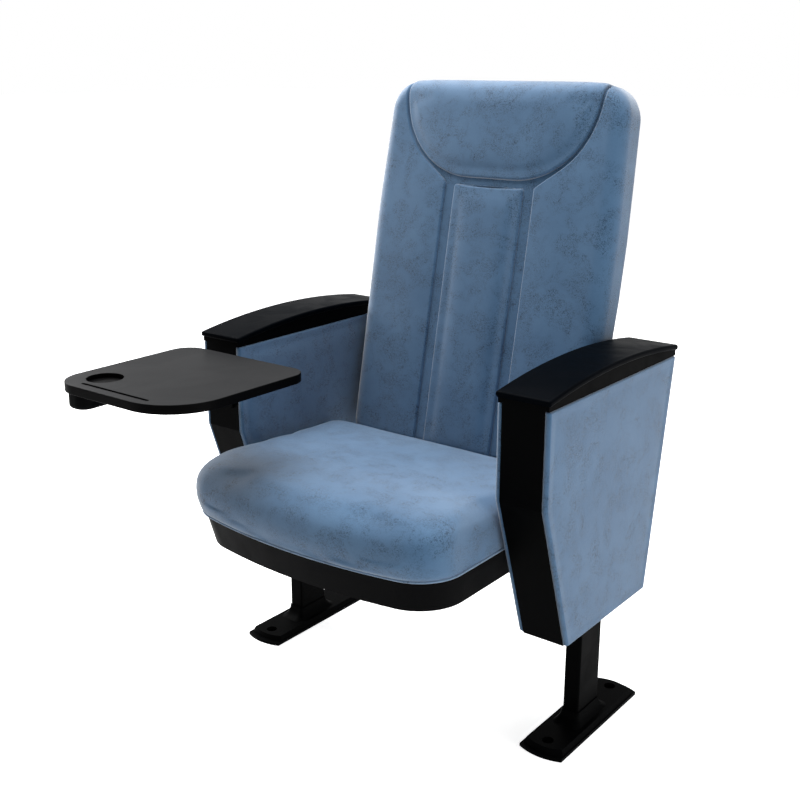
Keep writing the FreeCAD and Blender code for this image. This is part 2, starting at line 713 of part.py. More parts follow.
def head_seam():
    """The groove round the headrest: an arc, a straight run and an arc, with a round section."""
    turn = math.sqrt(0.5) * HEAD_SEAM_R
    low = HEAD_SEAM_V - HEAD_SEAM_R
    wide = HEAD_SEAM_U + HEAD_SEAM_R
    top = BACK_LENGTH + 20.0

    def at(u, v):
        return back_point(u, v, HEAD_SEAM_W)

    bend_u, bend_v = HEAD_SEAM_U + turn, HEAD_SEAM_V - turn
    edges = [
        line(at(-wide, top), at(-wide, HEAD_SEAM_V)),
        arc(at(-wide, HEAD_SEAM_V), at(-bend_u, bend_v), at(-HEAD_SEAM_U, low)),
        line(at(-HEAD_SEAM_U, low), at(HEAD_SEAM_U, low)),
        arc(at(HEAD_SEAM_U, low), at(bend_u, bend_v), at(wide, HEAD_SEAM_V)),
        line(at(wide, HEAD_SEAM_V), at(wide, top)),
    ]
    section = Part.Wire(Part.makeCircle(SEAM_R, at(-wide, top), back_direction(0, 1, 0)))
    return Part.Wire(edges).makePipeShell([section], True, False)


def channel(side):
    """One upright channel, wider at its mouth than at its floor."""
    inner, outer = CHANNEL_U
    start = -10.0
    outline = [(inner - CHANNEL_SLOPE, 2.0 * CHANNEL_DEPTH), (inner + CHANNEL_SLOPE, -CHANNEL_DEPTH),
               (outer - CHANNEL_SLOPE, -CHANNEL_DEPTH), (outer + CHANNEL_SLOPE, 2.0 * CHANNEL_DEPTH)]
    points = [back_point(side * u, start, w) for u, w in outline]
    return Part.Face(Part.makePolygon(points + points[:1])).extrude(back_direction(0, CHANNEL_TOP - start, 0))


def back_cushion():
    """The cushion with its seams, and with room behind for the board and the brackets."""
    w = (-BACK_DEPTH - COVER_DEPTH, BACK_BOARD_T - BACK_DEPTH)
    pocket = back_plate(BACK_BOARD_HALF, BACK_BOARD_V, w, BACK_BOARD_CORNER)
    brackets = [back_bracket(), mirrored(back_bracket())]
    cushion = back_body()
    for cutter in [head_seam(), channel(-1.0), channel(1.0), pocket] + brackets:
        cushion = cushion.cut(cutter)
    return cushion


def back_plate(half, v, w, corner):
    """A flat plate with rounded upright edges at its corners."""
    plate = back_block((-half, half), v, w)
    along = back_direction(0, 0, 1)
    edges = [e for e in plate.Edges if abs(abs(e.tangentAt(e.FirstParameter).dot(along)) - 1.0) < 1e-6]
    return plate.makeFillet(corner, edges)


def back_board():
    return back_plate(BACK_BOARD_HALF, BACK_BOARD_V, (-BACK_DEPTH, BACK_BOARD_T - BACK_DEPTH), BACK_BOARD_CORNER)


def back_cover():
    """A shallow moulded tray over the rear of the board, notched for the brackets."""
    rear = -BACK_DEPTH - COVER_DEPTH
    shell = back_plate(COVER_HALF, COVER_V, (rear, -BACK_DEPTH), COVER_CORNER)
    away = back_point(0, 0, rear)
    normal = back_direction(0, 0, 1)
    edges = [e for e in shell.Edges if all(abs((p.Point - away).dot(normal)) < 0.01 for p in e.Vertexes)]
    shell = shell.makeFillet(COVER_EDGE_R, edges)
    v = (COVER_V[0] + COVER_WALL, COVER_V[1] - COVER_WALL)
    hollow = back_plate(COVER_HALF - COVER_WALL, v, (rear + COVER_WALL, 1.0 - BACK_DEPTH), COVER_CORNER - COVER_WALL)
    shell = shell.cut(hollow)
    for side in (-1.0, 1.0):
        notch = back_block((side * (BRACKET_INNER_U - 1), side * BRACKET_U), (BRACKET_V[0] - 1, BRACKET_V[1] + 1),
                           (-BACK_DEPTH - BRACKET_T - 0.5, -BACK_DEPTH + 1))
        shell = shell.cut(notch)
    for u, v in COVER_SCREWS:
        shell = shell.fuse(back_rod(COVER_BOSS_R, u, v, (rear + 1.0, -BACK_DEPTH)))
    for screw in cover_screws().Solids:
        shell = shell.cut(screw)
    return shell.removeSplitter()


def back_rod(radius, u, v, w):
    return Part.makeCylinder(radius, w[1] - w[0], back_point(u, v, w[0]), back_direction(0, 0, 1))


def cover_screws():
    """Screws through the cover's bosses into the board."""
    screws = []
    rear = -BACK_DEPTH - COVER_DEPTH
    for u, v in COVER_SCREWS:
        shank = back_rod(COVER_SCREW_R, u, v, (rear + 2.0, BACK_BOARD_T - BACK_DEPTH - 2.0))
        head = back_rod(2.0 * COVER_SCREW_R, u, v, (rear + 0.3, rear + 2.0))
        screws.append(shank.fuse(head))
    return Part.makeCompound(screws)


def back_board_bored():
    """The board with its screw holes."""
    board = back_board()
    for screw in cover_screws().Solids:
        board = board.cut(screw)
    return board


def back_bracket():
    """A steel angle: one leg on the board's rear, the other beside the cushion."""
    rear = -BACK_DEPTH
    side_leg = back_block((BRACKET_U, BRACKET_U + BRACKET_T), BRACKET_V, (rear - BRACKET_T, BRACKET_FRONT_W))
    rear_leg = back_block((BRACKET_INNER_U, BRACKET_U + 1.0), BRACKET_V, (rear - BRACKET_T, rear))
    angle = side_leg.fuse(rear_leg).removeSplitter()
    for v in STUD_V:
        place = back_point(0.0, v, STUD_W)
        angle = angle.cut(rod_x(STUD_R, (BRACKET_U - 1.0, BRACKET_U + BRACKET_T + 1.0), place.y, place.z))
    return angle


def back_bolts():
    """Studs from the bracket through a spacer and the arm's inner side, each with its nut."""
    bolts = []
    for v in STUD_V:
        place = back_point(0.0, v, STUD_W)
        stud = rod_x(STUD_R, (BRACKET_U, STUD_END), place.y, place.z)
        spacer = rod_x(SPACER_R, (BRACKET_U + BRACKET_T, INNER_PAD_X[0]), place.y, place.z)
        nut = hex_x(STUD_NUT_R, (INNER_BOARD_X[1], INNER_BOARD_X[1] + STUD_NUT_T), place.y, place.z)
        bolts.append(stud.fuse([spacer, nut]).removeSplitter())
    return Part.makeCompound(bolts)


# Writing tablet

def tablet_plan(z):
    """The board's plan with its four corners rounded, front left first."""
    corners = [
        V(TABLET_LEFT_X[0], TABLET_FRONT_Y, z),
        V(TABLET_RIGHT_X[0], TABLET_FRONT_Y, z),
        V(TABLET_RIGHT_X[1], TABLET_REAR_Y, z),
        V(TABLET_LEFT_X[1], TABLET_REAR_Y, z),
    ]
    starts, middles, ends = [], [], []
    for i, here in enumerate(corners):
        to_before = corners[i - 1] - here
        to_after = corners[(i + 1) % 4] - here
        to_before.normalize()
        to_after.normalize()
        half = to_before.getAngle(to_after) / 2.0
        run = TABLET_CORNERS[i] / math.tan(half)
        bisector = to_before + to_after
        bisector.normalize()
        depth = TABLET_CORNERS[i] / math.sin(half) - TABLET_CORNERS[i]
        starts.append(here + to_before * run)
        middles.append(here + bisector * depth)
        ends.append(here + to_after * run)
    edges = []
    for i in range(4):
        edges.append(arc(starts[i], middles[i], ends[i]))
        edges.append(line(ends[i], starts[(i + 1) % 4]))
    return Part.Wire(edges)


def tablet_top():
    """The board with its cup recess and pen groove."""
    low, high = TABLET_Z
    board = Part.Face(tablet_plan(low)).extrude(V(0, 0, high - low))
    rims = [e for e in board.Edges if abs(e.BoundBox.ZMax - e.BoundBox.ZMin) < 0.01]
    board = board.makeFillet(TABLET_EDGE_R, rims)
    board = board.cut(rod_z(CUP_R, CUP_CENTRE[0], CUP_CENTRE[1], (high - CUP_DEPTH, high + 5)))
    half = GROOVE_WIDTH / 2.0
    floor = high - GROOVE_DEPTH
    groove = block(GROOVE_X, (GROOVE_Y - half, GROOVE_Y + half), (floor, high + 5))
    for x in GROOVE_X:
        groove = groove.fuse(rod_z(half, x, GROOVE_Y, (floor, high + 5)))
    board = board.cut(groove)
    for screw in tablet_screws().Solids:
        board = board.cut(screw)
    return board


def tablet_screws():
    """Screws up through the flanges into the board."""
    screws = []
    low = TABLET_Z[0]
    for x, y in TABLET_SCREWS:
        shank = rod_z(TABLET_SCREW_R, x, y, (low - FLANGE_T - 0.5, low + 6.0))
        head = rod_z(2.0 * TABLET_SCREW_R, x, y, (low - FLANGE_T - 2.5, low - FLANGE_T))
        screws.append(shank.fuse(head))
    return Part.makeCompound(screws)


def tablet_housing():
    """The moulded housing under the board's outer front corner, bored for the bar."""
    body = block(HOUSING_X, HOUSING_Y, (HOUSING_Z, TABLET_Z[0]))
    upright = [e for e in body.Edges if abs(e.tangentAt(e.FirstParameter).z) > 0.9]
    front = [e for e in upright if abs(e.Vertexes[0].Point.y - HOUSING_Y[0]) < 0.01]
    body = body.makeFillet(HOUSING_CORNER_R, front)
    low = [e for e in body.Edges if e.BoundBox.ZMax < HOUSING_Z + 0.01]
    body = body.makeFillet(HOUSING_EDGE_R, low)
    body = body.cut(rod_y(BAR_R + RUNNING, BAR_X, (BAR_Y[0] - 1.0, HOUSING_Y[1] + 5.0), BAR_Z))
    for x, y in TABLET_SCREWS[:2]:
        body = body.cut(rod_z(2.0 * TABLET_SCREW_R + 1.0, x, y, (HOUSING_Z - 1, TABLET_Z[0] - FLANGE_T)))
    for screw in tablet_screws().Solids[:2]:
        body = body.cut(screw)
    return body


def tablet_knuckle():
    """The rear ring round the bar, with a flange screwed to the board."""
    ring = rod_y(TABLET_Z[0] - BAR_Z, BAR_X, KNUCKLE_Y, BAR_Z)
    flange = block((BAR_X, FLANGE_X), KNUCKLE_Y, (TABLET_Z[0] - FLANGE_T, TABLET_Z[0]))
    knuckle = ring.fuse(flange).removeSplitter()
    knuckle = knuckle.cut(rod_y(BAR_R + RUNNING, BAR_X, (KNUCKLE_Y[0] - 1, KNUCKLE_Y[1] + 1), BAR_Z))
    return knuckle.cut(tablet_screws().Solids[2])


def tablet_arm():
    """The round bar and its flattened rear eye."""
    bar = rod_y(BAR_R, BAR_X, BAR_Y, BAR_Z)
    x = (BAR_X - BAR_HEAD_HALF, BAR_X + BAR_HEAD_HALF)
    eye = rod_x(BAR_HEAD_R, x, SWING_Y, BAR_Z)
    neck = block(x, (BAR_Y[1] - 6.0, SWING_Y), (BAR_Z - BAR_HEAD_R + 0.5, BAR_Z + BAR_HEAD_R - 0.5))
    arm = bar.fuse([eye, neck]).removeSplitter()
    return arm.cut(rod_x(SWING_PIN_R + RUNNING, (x[0] - 5, x[1] + 5), SWING_Y, BAR_Z))


def swing_pin():
    """The fixed pin that the bar swings on, with a low head outside and a nut inside."""
    eye = (BAR_X - BAR_HEAD_HALF - PIN_PLAY, BAR_X + BAR_HEAD_HALF + PIN_PLAY)
    shank = rod_x(SWING_PIN_R, (eye[0], LUG_X[1] + 5.0), SWING_Y, BAR_Z)
    head = rod_x(PIN_HEAD_R, (eye[0] - 1.5, eye[0]), SWING_Y, BAR_Z)
    nut = hex_x(PIN_NUT_R, (LUG_X[1], LUG_X[1] + 4.5), SWING_Y, BAR_Z)
    washer = rod_x(PIN_NUT_R, (eye[1], LUG_X[0]), SWING_Y, BAR_Z)
    return shank.fuse([head, nut, washer]).removeSplitter()


def tablet_bracket():
    """The lug on the arm's front: it drops from the pin and turns back under the board's path."""
    face = ARM_FRONT_Y
    foot = LUG_FOOT_Z
    neck = (SWING_Y - LUG_HEAD_R, SWING_Y + LUG_HEAD_R)
    outline = [(neck[0], BAR_Z), (neck[0], foot[1] - 14.0), (neck[0] + 14.0, foot[1] - 28.0),
               (face - LUG_PLATE_T, foot[0] + 2.0), (face - LUG_PLATE_T, foot[1] - 4.0),
               (neck[1] + 4.0, foot[1] - 4.0), (neck[1], foot[1]), (neck[1], BAR_Z)]
    lug = prism_x(outline, LUG_X).fuse(rod_x(LUG_HEAD_R, LUG_X, SWING_Y, BAR_Z))
    plate = block(LUG_PLATE_X, (face - LUG_PLATE_T, face), LUG_PLATE_Z)
    lug = lug.fuse(plate).removeSplitter()
    lug = lug.cut(rod_x(SWING_PIN_R, (LUG_X[0] - 1, LUG_X[1] + 1), SWING_Y, BAR_Z))
    for screw in bracket_screws().Solids:
        lug = lug.cut(screw)
    return lug


def bracket_screws():
    """Four screws that hold the lug's plate to the arm's front."""
    screws = []
    outside = ARM_FRONT_Y - LUG_PLATE_T
    for x in LUG_SCREW_X:
        for z in LUG_SCREW_Z:
            shank = rod_y(LUG_SCREW_R, x, (outside, ARM_FRONT_Y + 14.0), z)
            head = rod_y(2.0 * LUG_SCREW_R, x, (outside - LUG_SCREW_R, outside), z)
            screws.append(shank.fuse(head))
    return Part.makeCompound(screws)


def left_front_trim():
    strip = mirrored(trim(True))
    for screw in bracket_screws().Solids:
        strip = strip.cut(screw)
    return strip


def main():
    os.makedirs("parts", exist_ok=True)
    side_parts = {
        "foot_plate": foot_plate(),
        "foot_cover": foot_cover(),
        "post": post(),
        "arm_front_trim": trim(True),
        "arm_rear_trim": trim(False),
        "arm_base": arm_base(),
        "arm_outer_board": side_board(OUTER_BOARD_X),
        "arm_outer_pad": side_pad(OUTER_PAD_X, OUTER_PAD_X[1]),
        "arm_inner_board": inner_side(side_board(INNER_BOARD_X)),
        "arm_inner_pad": inner_side(side_pad(INNER_PAD_X, INNER_PAD_X[0])),
        "armrest_core": cap_base(),
        "armrest_cap": arm_cap(),
        "armrest_screws": cap_screws(),
        "pivot_bush": pivot_bush(),
        "stop_buffers": stop_buffers(),
        "return_spring": return_spring(),
        "back_bracket": back_bracket(),
        "back_bolts": back_bolts(),
        "seat_hinge_arm": hinge_arm(),
        "pivot_shaft": pivot_shaft(),
    }
    for name, shape in side_parts.items():
        save(name + "_right", shape)
        left = left_front_trim() if name == "arm_front_trim" else mirrored(shape)
        save(name + "_left", left)
    save("back_cushion", back_cushion())
    save("back_board", back_board_bored())
    save("back_cover", back_cover())
    save("back_cover_screws", cover_screws())
    save("seat_cushion", seat_cushion())
    save("seat_board", seat_board())
    save("seat_pan", seat_pan())
    save("seat_support_plate", support_plate())
    save("seat_pan_screws", pan_screws())
    save("tablet_top", tablet_top())
    save("tablet_housing", tablet_housing())
    save("tablet_knuckle", tablet_knuckle())
    save("tablet_screws", tablet_screws())
    save("tablet_arm", tablet_arm())
    save("tablet_swing_pin", swing_pin())
    save("tablet_bracket", tablet_bracket())
    save("tablet_bracket_screws", bracket_screws())


main()
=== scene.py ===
# %% [markdown]
# # Tip up auditorium seat with a writing tablet
#
# The seat is foam under a slate blue velour, held between two arm boxes on steel posts. The packed
# CAD model gives every rigid piece its true place. This lesson dresses it: the soft parts are worked
# out again as pads with rolled edges, and every surface gets a finish made of shader nodes.

# %% Load the frame and keep its box
import json
import math
import bmesh
import bpy
import numpy as np
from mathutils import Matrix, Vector


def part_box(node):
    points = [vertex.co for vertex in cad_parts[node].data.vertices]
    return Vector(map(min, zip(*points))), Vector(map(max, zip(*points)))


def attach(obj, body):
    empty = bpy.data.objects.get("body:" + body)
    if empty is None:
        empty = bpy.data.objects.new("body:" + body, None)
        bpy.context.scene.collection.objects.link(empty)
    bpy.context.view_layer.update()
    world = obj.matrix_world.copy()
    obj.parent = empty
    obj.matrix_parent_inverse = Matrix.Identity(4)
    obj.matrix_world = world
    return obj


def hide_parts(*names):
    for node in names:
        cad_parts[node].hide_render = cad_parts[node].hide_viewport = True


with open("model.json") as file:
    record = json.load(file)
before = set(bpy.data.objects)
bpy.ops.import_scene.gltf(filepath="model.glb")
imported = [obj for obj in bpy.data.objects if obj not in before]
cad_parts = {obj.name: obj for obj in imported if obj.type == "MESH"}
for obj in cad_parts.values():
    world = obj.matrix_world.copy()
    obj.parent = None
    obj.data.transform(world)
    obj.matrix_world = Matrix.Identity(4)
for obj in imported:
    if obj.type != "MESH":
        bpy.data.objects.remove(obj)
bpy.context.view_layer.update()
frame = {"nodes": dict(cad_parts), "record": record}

MM = 0.001

# %% [markdown]
# The camera stands where the photographer stood: to the right of the seat and a little above the
# armrests. Its place and its lens were found by lining up corners of the CAD model with the
# same corners in the photograph, so nothing in the scene has to be shifted to fit.

# %% Camera
CAMERA_PLACE = (1.0788, -1.4909, 1.0439)
CAMERA_AZIMUTH = math.radians(37.722)
CAMERA_ELEVATION = math.radians(16.637)
CAMERA_LENS = 51.43

camera_data = bpy.data.cameras.new("camera")
camera_data.lens = CAMERA_LENS
camera_data.sensor_width = 36.0
camera = bpy.data.objects.new("camera", camera_data)
bpy.context.scene.collection.objects.link(camera)
camera.location = CAMERA_PLACE
towards_camera = Vector((
    math.sin(CAMERA_AZIMUTH) * math.cos(CAMERA_ELEVATION),
    -math.cos(CAMERA_AZIMUTH) * math.cos(CAMERA_ELEVATION),
    math.sin(CAMERA_ELEVATION),
))
camera.rotation_mode = "QUATERNION"
camera.rotation_quaternion = (-towards_camera).to_track_quat("-Z", "Y")
bpy.context.scene.camera = camera
bpy.context.scene.view_settings.view_transform = "Standard"
print("camera lens", CAMERA_LENS, "mm")

# %% [markdown]
# Node trees are long when each node is written out, so two small helpers place a node and wire it in
# one line. A value that is a socket gets linked, and anything else is set on the socket itself.

# %% Helpers for shader nodes


def node(tree, kind, inputs=None, **settings):
    """Place a node, change its settings, then fill or link its inputs."""
    made = tree.nodes.new(kind)
    for key, value in settings.items():
        setattr(made, key, value)
    for key, value in (inputs or {}).items():
        if isinstance(value, bpy.types.NodeSocket):
            tree.links.new(value, made.inputs[key])
        else:
            made.inputs[key].default_value = value
    return made


def noise(tree, vector, scale, detail=2.0, distortion=0.0):
    values = {"Vector": vector, "Scale": scale, "Detail": detail, "Distortion": distortion}
    return node(tree, "ShaderNodeTexNoise", values).outputs[0]


def remap(tree, value, low, high, to_low=0.0, to_high=1.0):
    """Stretch the range low..high of a value over to_low..to_high and clamp it there."""
    names = {"Value": value, "From Min": low, "From Max": high, "To Min": to_low, "To Max": to_high}
    return node(tree, "ShaderNodeMapRange", names).outputs[0]


def maths(tree, operation, first, second=0.0):
    return node(tree, "ShaderNodeMath", {0: first, 1: second}, operation=operation).outputs[0]


def mix_colour(tree, factor, first, second):
    return node(tree, "ShaderNodeMix", {0: factor, 6: first, 7: second}, data_type="RGBA").outputs[2]


def new_group(name, inputs, outputs):
    """An empty node group with named float inputs and outputs; returns tree, input and output node."""
    tree = bpy.data.node_groups.new(name, "ShaderNodeTree")
    for label, value in inputs.items():
        socket = tree.interface.new_socket(label, in_out="INPUT", socket_type="NodeSocketFloat")
        socket.default_value = value
    for label in outputs:
        tree.interface.new_socket(label, in_out="OUTPUT", socket_type="NodeSocketFloat")
    return tree, node(tree, "NodeGroupInput"), node(tree, "NodeGroupOutput")


def place_group(tree, group, inputs=None):
    """Place a node group. Its inputs exist once its tree is set, and node() sets that first."""
    return node(tree, "ShaderNodeGroup", inputs, node_tree=group)


def new_material(name, colour):
    """A material whose Principled BSDF starts from one colour; returns material, tree and shader."""
    material = bpy.data.materials.new(name)
    material.use_nodes = True
    material.diffuse_color = (*colour, 1.0)
    tree = material.node_tree
    shader = tree.nodes["Principled BSDF"]
    shader.inputs["Base Color"].default_value = (*colour, 1.0)
    return material, tree, shader


def bump(tree, shader, height, strength, distance):
    values = {"Height": height, "Strength": strength, "Distance": distance}
    tree.links.new(node(tree, "ShaderNodeBump", values).outputs[0], shader.inputs["Normal"])


def object_place(tree):
    return node(tree, "ShaderNodeTexCoord").outputs["Object"]


def seen_directly(tree):
    """1 for rays from the camera, in a mirror or through glass, and 0 for rays that carry light."""
    path = node(tree, "ShaderNodeLightPath")
    seen = maths(tree, "MAXIMUM", path.outputs["Is Camera Ray"], path.outputs["Is Glossy Ray"])
    return maths(tree, "MAXIMUM", seen, path.outputs["Is Transmission Ray"])


print("shader helpers ready")

# %% [markdown]
# The velour has a short pile. Three things show at reading distance: a cloudy change of tone where
# hands have brushed the pile, with a fine mottle in it, small clusters of dark wisps where it parts,
# and the pile itself. All are noise on Object coordinates, so they need no seams or unwrapping. They
# sit in a group, because the covers and their piping share them.

# %% Node group: velour pile
BRUSHED_SHARE = 0.65
WISP_DEPTH = 0.7
pile_group, pile_in, pile_out = new_group(
    "velour pile", {"Wisp Scale": 290.0, "Cluster Scale": 32.0}, ("Cloud", "Wisp", "Height"))
place = object_place(pile_group)
brushed = remap(pile_group, noise(pile_group, place, 11.0, 3.0, 0.4), 0.32, 0.68)
mottle = remap(pile_group, noise(pile_group, place, 420.0, 2.0, 0.8), 0.30, 0.70)
brushed_part = maths(pile_group, "MULTIPLY", brushed, BRUSHED_SHARE)
mottle_part = maths(pile_group, "MULTIPLY", mottle, 1.0 - BRUSHED_SHARE)
cloud = maths(pile_group, "ADD", brushed_part, mottle_part)
wisp_noise = noise(pile_group, place, pile_in.outputs["Wisp Scale"], 4.0, 2.2)
cluster_noise = noise(pile_group, place, pile_in.outputs["Cluster Scale"], 3.0, 0.6)
cluster = remap(pile_group, cluster_noise, 0.40, 0.62)
wisp = maths(pile_group, "MULTIPLY", remap(pile_group, wisp_noise, 0.49, 0.60), cluster)
fibre = noise(pile_group, place, 1900.0, 2.0)
height = maths(pile_group, "SUBTRACT", fibre, maths(pile_group, "MULTIPLY", wisp, WISP_DEPTH))
for label, value in (("Cloud", cloud), ("Wisp", wisp), ("Height", height)):
    pile_group.links.new(value, pile_out.inputs[label])
print("node group", pile_group.name)

# %% [markdown]
# Paint, moulded plastic and laminate share two faults of real surfaces: a fine texture from the
# mould or the spray gun, and a film of handling marks that makes some places duller. One group gives
# both, with the size of the texture and the reach of the marks as inputs.

# %% Node group: moulded grain and handling marks
grain_group, grain_in, grain_out = new_group(
    "grain and marks", {"Grain Scale": 900.0, "Mark Scale": 16.0}, ("Grain", "Marks", "Specks"))
place = object_place(grain_group)
grain = noise(grain_group, place, grain_in.outputs["Grain Scale"], 2.0)
marks = remap(grain_group, noise(grain_group, place, grain_in.outputs["Mark Scale"], 5.0, 1.4), 0.42, 0.70)
specks = remap(grain_group, noise(grain_group, place, 1300.0, 1.0), 0.63, 0.72)
for label, value in (("Grain", grain), ("Marks", marks), ("Specks", specks)):
    grain_group.links.new(value, grain_out.inputs[label])
print("node group", grain_group.name)

# %% [markdown]
# The velour looks deep blue seen square on and turns pale and greyish at a shallow angle. That is
# what the sheen lobe of the Principled BSDF does: a dark saturated base, and a white sheen that
# grows towards grazing view. The cover and the piping differ only in their tone. The piping's
# paler tone is a painted highlight for the lit lower edge of the cushion.

# %% Materials: velour
WISP_SHADE = 0.95
WISP_TONE = 0.38
PILE_ROUGH = (0.86, 0.96)
SHEEN_ROUGHNESS = 0.5
SHEEN_TINT = (1.0, 0.97, 0.94, 1.0)


def velour(name, colour, dark, pale, sheen):
    """Pile from dark to pale in clouds, with wisps in a darker tone of the colour, under a sheen."""
    material, tree, shader = new_material(name, colour)
    pile = place_group(tree, pile_group)
    base = mix_colour(tree, pile.outputs["Cloud"], (*dark, 1.0), (*pale, 1.0))
    shade = maths(tree, "MULTIPLY", pile.outputs["Wisp"], WISP_SHADE)
    base = mix_colour(tree, shade, base, tuple(WISP_TONE * c for c in colour) + (1.0,))
    tree.links.new(base, shader.inputs["Base Color"])
    rough = remap(tree, pile.outputs["Wisp"], 0.0, 1.0, *PILE_ROUGH)
    tree.links.new(rough, shader.inputs["Roughness"])
    shader.inputs["Specular IOR Level"].default_value = 0.2
    shader.inputs["Sheen Weight"].default_value = sheen
    shader.inputs["Sheen Roughness"].default_value = SHEEN_ROUGHNESS
    shader.inputs["Sheen Tint"].default_value = SHEEN_TINT
    bump(tree, shader, pile.outputs["Height"], 0.35, 0.0004)
    return material


COVER_BLUE, COVER_DARK, COVER_PALE = (0.052, 0.128, 0.240), (0.049, 0.115, 0.212), (0.067, 0.145, 0.254)
# The piping's tones are paler than the cover's. This is a painted highlight for the cushion's lit lower edge.
PIPING_HIGHLIGHT_BLUE, PIPING_HIGHLIGHT_DARK, PIPING_HIGHLIGHT_PALE = (0.10, 0.18, 0.29), (0.12, 0.205, 0.32), (0.15, 0.240, 0.36)
velour_cover = velour("velour_cover", COVER_BLUE, COVER_DARK, COVER_PALE, sheen=0.52)
velour_piping_painted_highlight = velour("velour_piping_painted_highlight", PIPING_HIGHLIGHT_BLUE, PIPING_HIGHLIGHT_DARK, PIPING_HIGHLIGHT_PALE, sheen=0.6)
print("materials", velour_cover.name, velour_piping_painted_highlight.name)

# %% [markdown]
# The hard parts are black, but each black is its own: powder coated steel with a little orange
# peel, moulded plastic with a fine stipple, and armrests in a smoother satin. Only the strength of
# the texture, the roughness and the marks change, so one function makes them all.

# %% Materials: blacks and metals
WORN_GAIN, WORN_LIFT = 1.5, 0.0006
MARK_SHADE = 0.35
MARK_DULL = 0.12


def hard(name, colour, rough, grain_scale, grain_depth, metallic=0.0, specular=0.35):
    """One hard finish: where the handling marks lie, it is a little paler and duller."""
    material, tree, shader = new_material(name, colour)
    grain = place_group(tree, grain_group, {"Grain Scale": grain_scale})
    worn = tuple(min(1.0, WORN_GAIN * c + WORN_LIFT) for c in colour)
    shade = maths(tree, "MULTIPLY", grain.outputs["Marks"], MARK_SHADE)
    base = mix_colour(tree, shade, (*colour, 1.0), (*worn, 1.0))
    tree.links.new(base, shader.inputs["Base Color"])
    rough_value = remap(tree, grain.outputs["Marks"], 0.0, 1.0, rough, rough + MARK_DULL)
    tree.links.new(rough_value, shader.inputs["Roughness"])
    shader.inputs["Metallic"].default_value = metallic
    shader.inputs["Specular IOR Level"].default_value = specular
    bump(tree, shader, grain.outputs["Grain"], 0.5, grain_depth)
    return material


powder_coat = hard("powder_coat", (0.0010, 0.0011, 0.0012), 0.42, 850.0, 0.00010, specular=0.008)
armrest_satin = hard("armrest_satin", (0.0005, 0.0009, 0.0016), 0.36, 1500.0, 0.00005, specular=0.006)
armrest_wood = hard("armrest_wood", (0.0010, 0.0011, 0.0012), 0.46, 500.0, 0.00006, specular=0.008)
moulded_plastic = hard("moulded_plastic", (0.0022, 0.0023, 0.0025), 0.45, 1100.0, 0.00012, specular=0.012)
rubber = hard("rubber", (0.012, 0.012, 0.012), 0.75, 700.0, 0.0001)
nylon = hard("nylon", (0.55, 0.54, 0.50), 0.45, 900.0, 0.00005)
zinc_steel = hard("zinc_steel", (0.52, 0.53, 0.55), 0.32, 600.0, 0.00004, metallic=1.0, specular=0.5)
print("materials for the hard parts: 7, from", powder_coat.name, "to", zinc_steel.name)

# %% [markdown]
# The boards inside are birch plywood. Its plies show on every cut edge as thin stripes, so the
# stripes follow the board's thickness: a wave along one axis, bent a little by noise, over a
# stretched grain.

# %% Material: plywood
plywood, tree, shader = new_material("plywood", (0.50, 0.34, 0.18))
place = object_place(tree)
stretched = node(tree, "ShaderNodeMapping", {"Vector": place, "Scale": (60.0, 60.0, 4.0)}).outputs[0]
wood_grain = noise(tree, stretched, 3.0, 5.0, 1.2)
plies = node(tree, "ShaderNodeTexWave", {"Vector": place, "Scale": 110.0, "Distortion": 1.5}).outputs[1]
tone = maths(tree, "MULTIPLY", wood_grain, remap(tree, plies, 0.0, 1.0, 0.75, 1.0))
base = mix_colour(tree, tone, (0.30, 0.17, 0.075, 1.0), (0.62, 0.44, 0.25, 1.0))
tree.links.new(base, shader.inputs["Base Color"])
shader.inputs["Roughness"].default_value = 0.6
bump(tree, shader, wood_grain, 0.3, 0.0002)
print("material", plywood.name)

# %% [markdown]
# The tablet is a board with a dark grey laminate face and a black edge. The two finishes meet at
# the board's rounded rim, so the height above the floor tells them apart, measured in the board's own
# Object coordinates: it still holds when the board folds.

# %% Material: tablet laminate
tablet_face_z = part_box("tablet_top")[1].z
laminate, tree, shader = new_material("laminate", (0.045, 0.046, 0.049))
grain = place_group(tree, grain_group, {"Grain Scale": 1400.0, "Mark Scale": 7.0})
height = node(tree, "ShaderNodeSeparateXYZ", {0: object_place(tree)}).outputs[2]
face = remap(tree, height, tablet_face_z - 0.7 * MM, tablet_face_z - 0.2 * MM)
speck = maths(tree, "MULTIPLY", grain.outputs["Specks"], 0.12)
grey = mix_colour(tree, speck, (0.0145, 0.0148, 0.0155, 1.0), (0.028, 0.029, 0.031, 1.0))
black = (0.0012, 0.0012, 0.0013, 1.0)
tree.links.new(mix_colour(tree, face, black, grey), shader.inputs["Base Color"])
dull = remap(tree, grain.outputs["Marks"], 0.0, 1.0, 0.42, 0.54)
tree.links.new(dull, shader.inputs["Roughness"])
shader.inputs["Specular IOR Level"].default_value = 0.015
bump(tree, shader, grain.outputs["Grain"], 0.4, 0.00006)
print("material", laminate.name, "face above z =", round(tablet_face_z, 4))

# %% [markdown]
# Every CAD node that stays in view takes one of these finishes. The record's slot of each node
# already says what it is made of, so a table from slot to material dresses all of them.

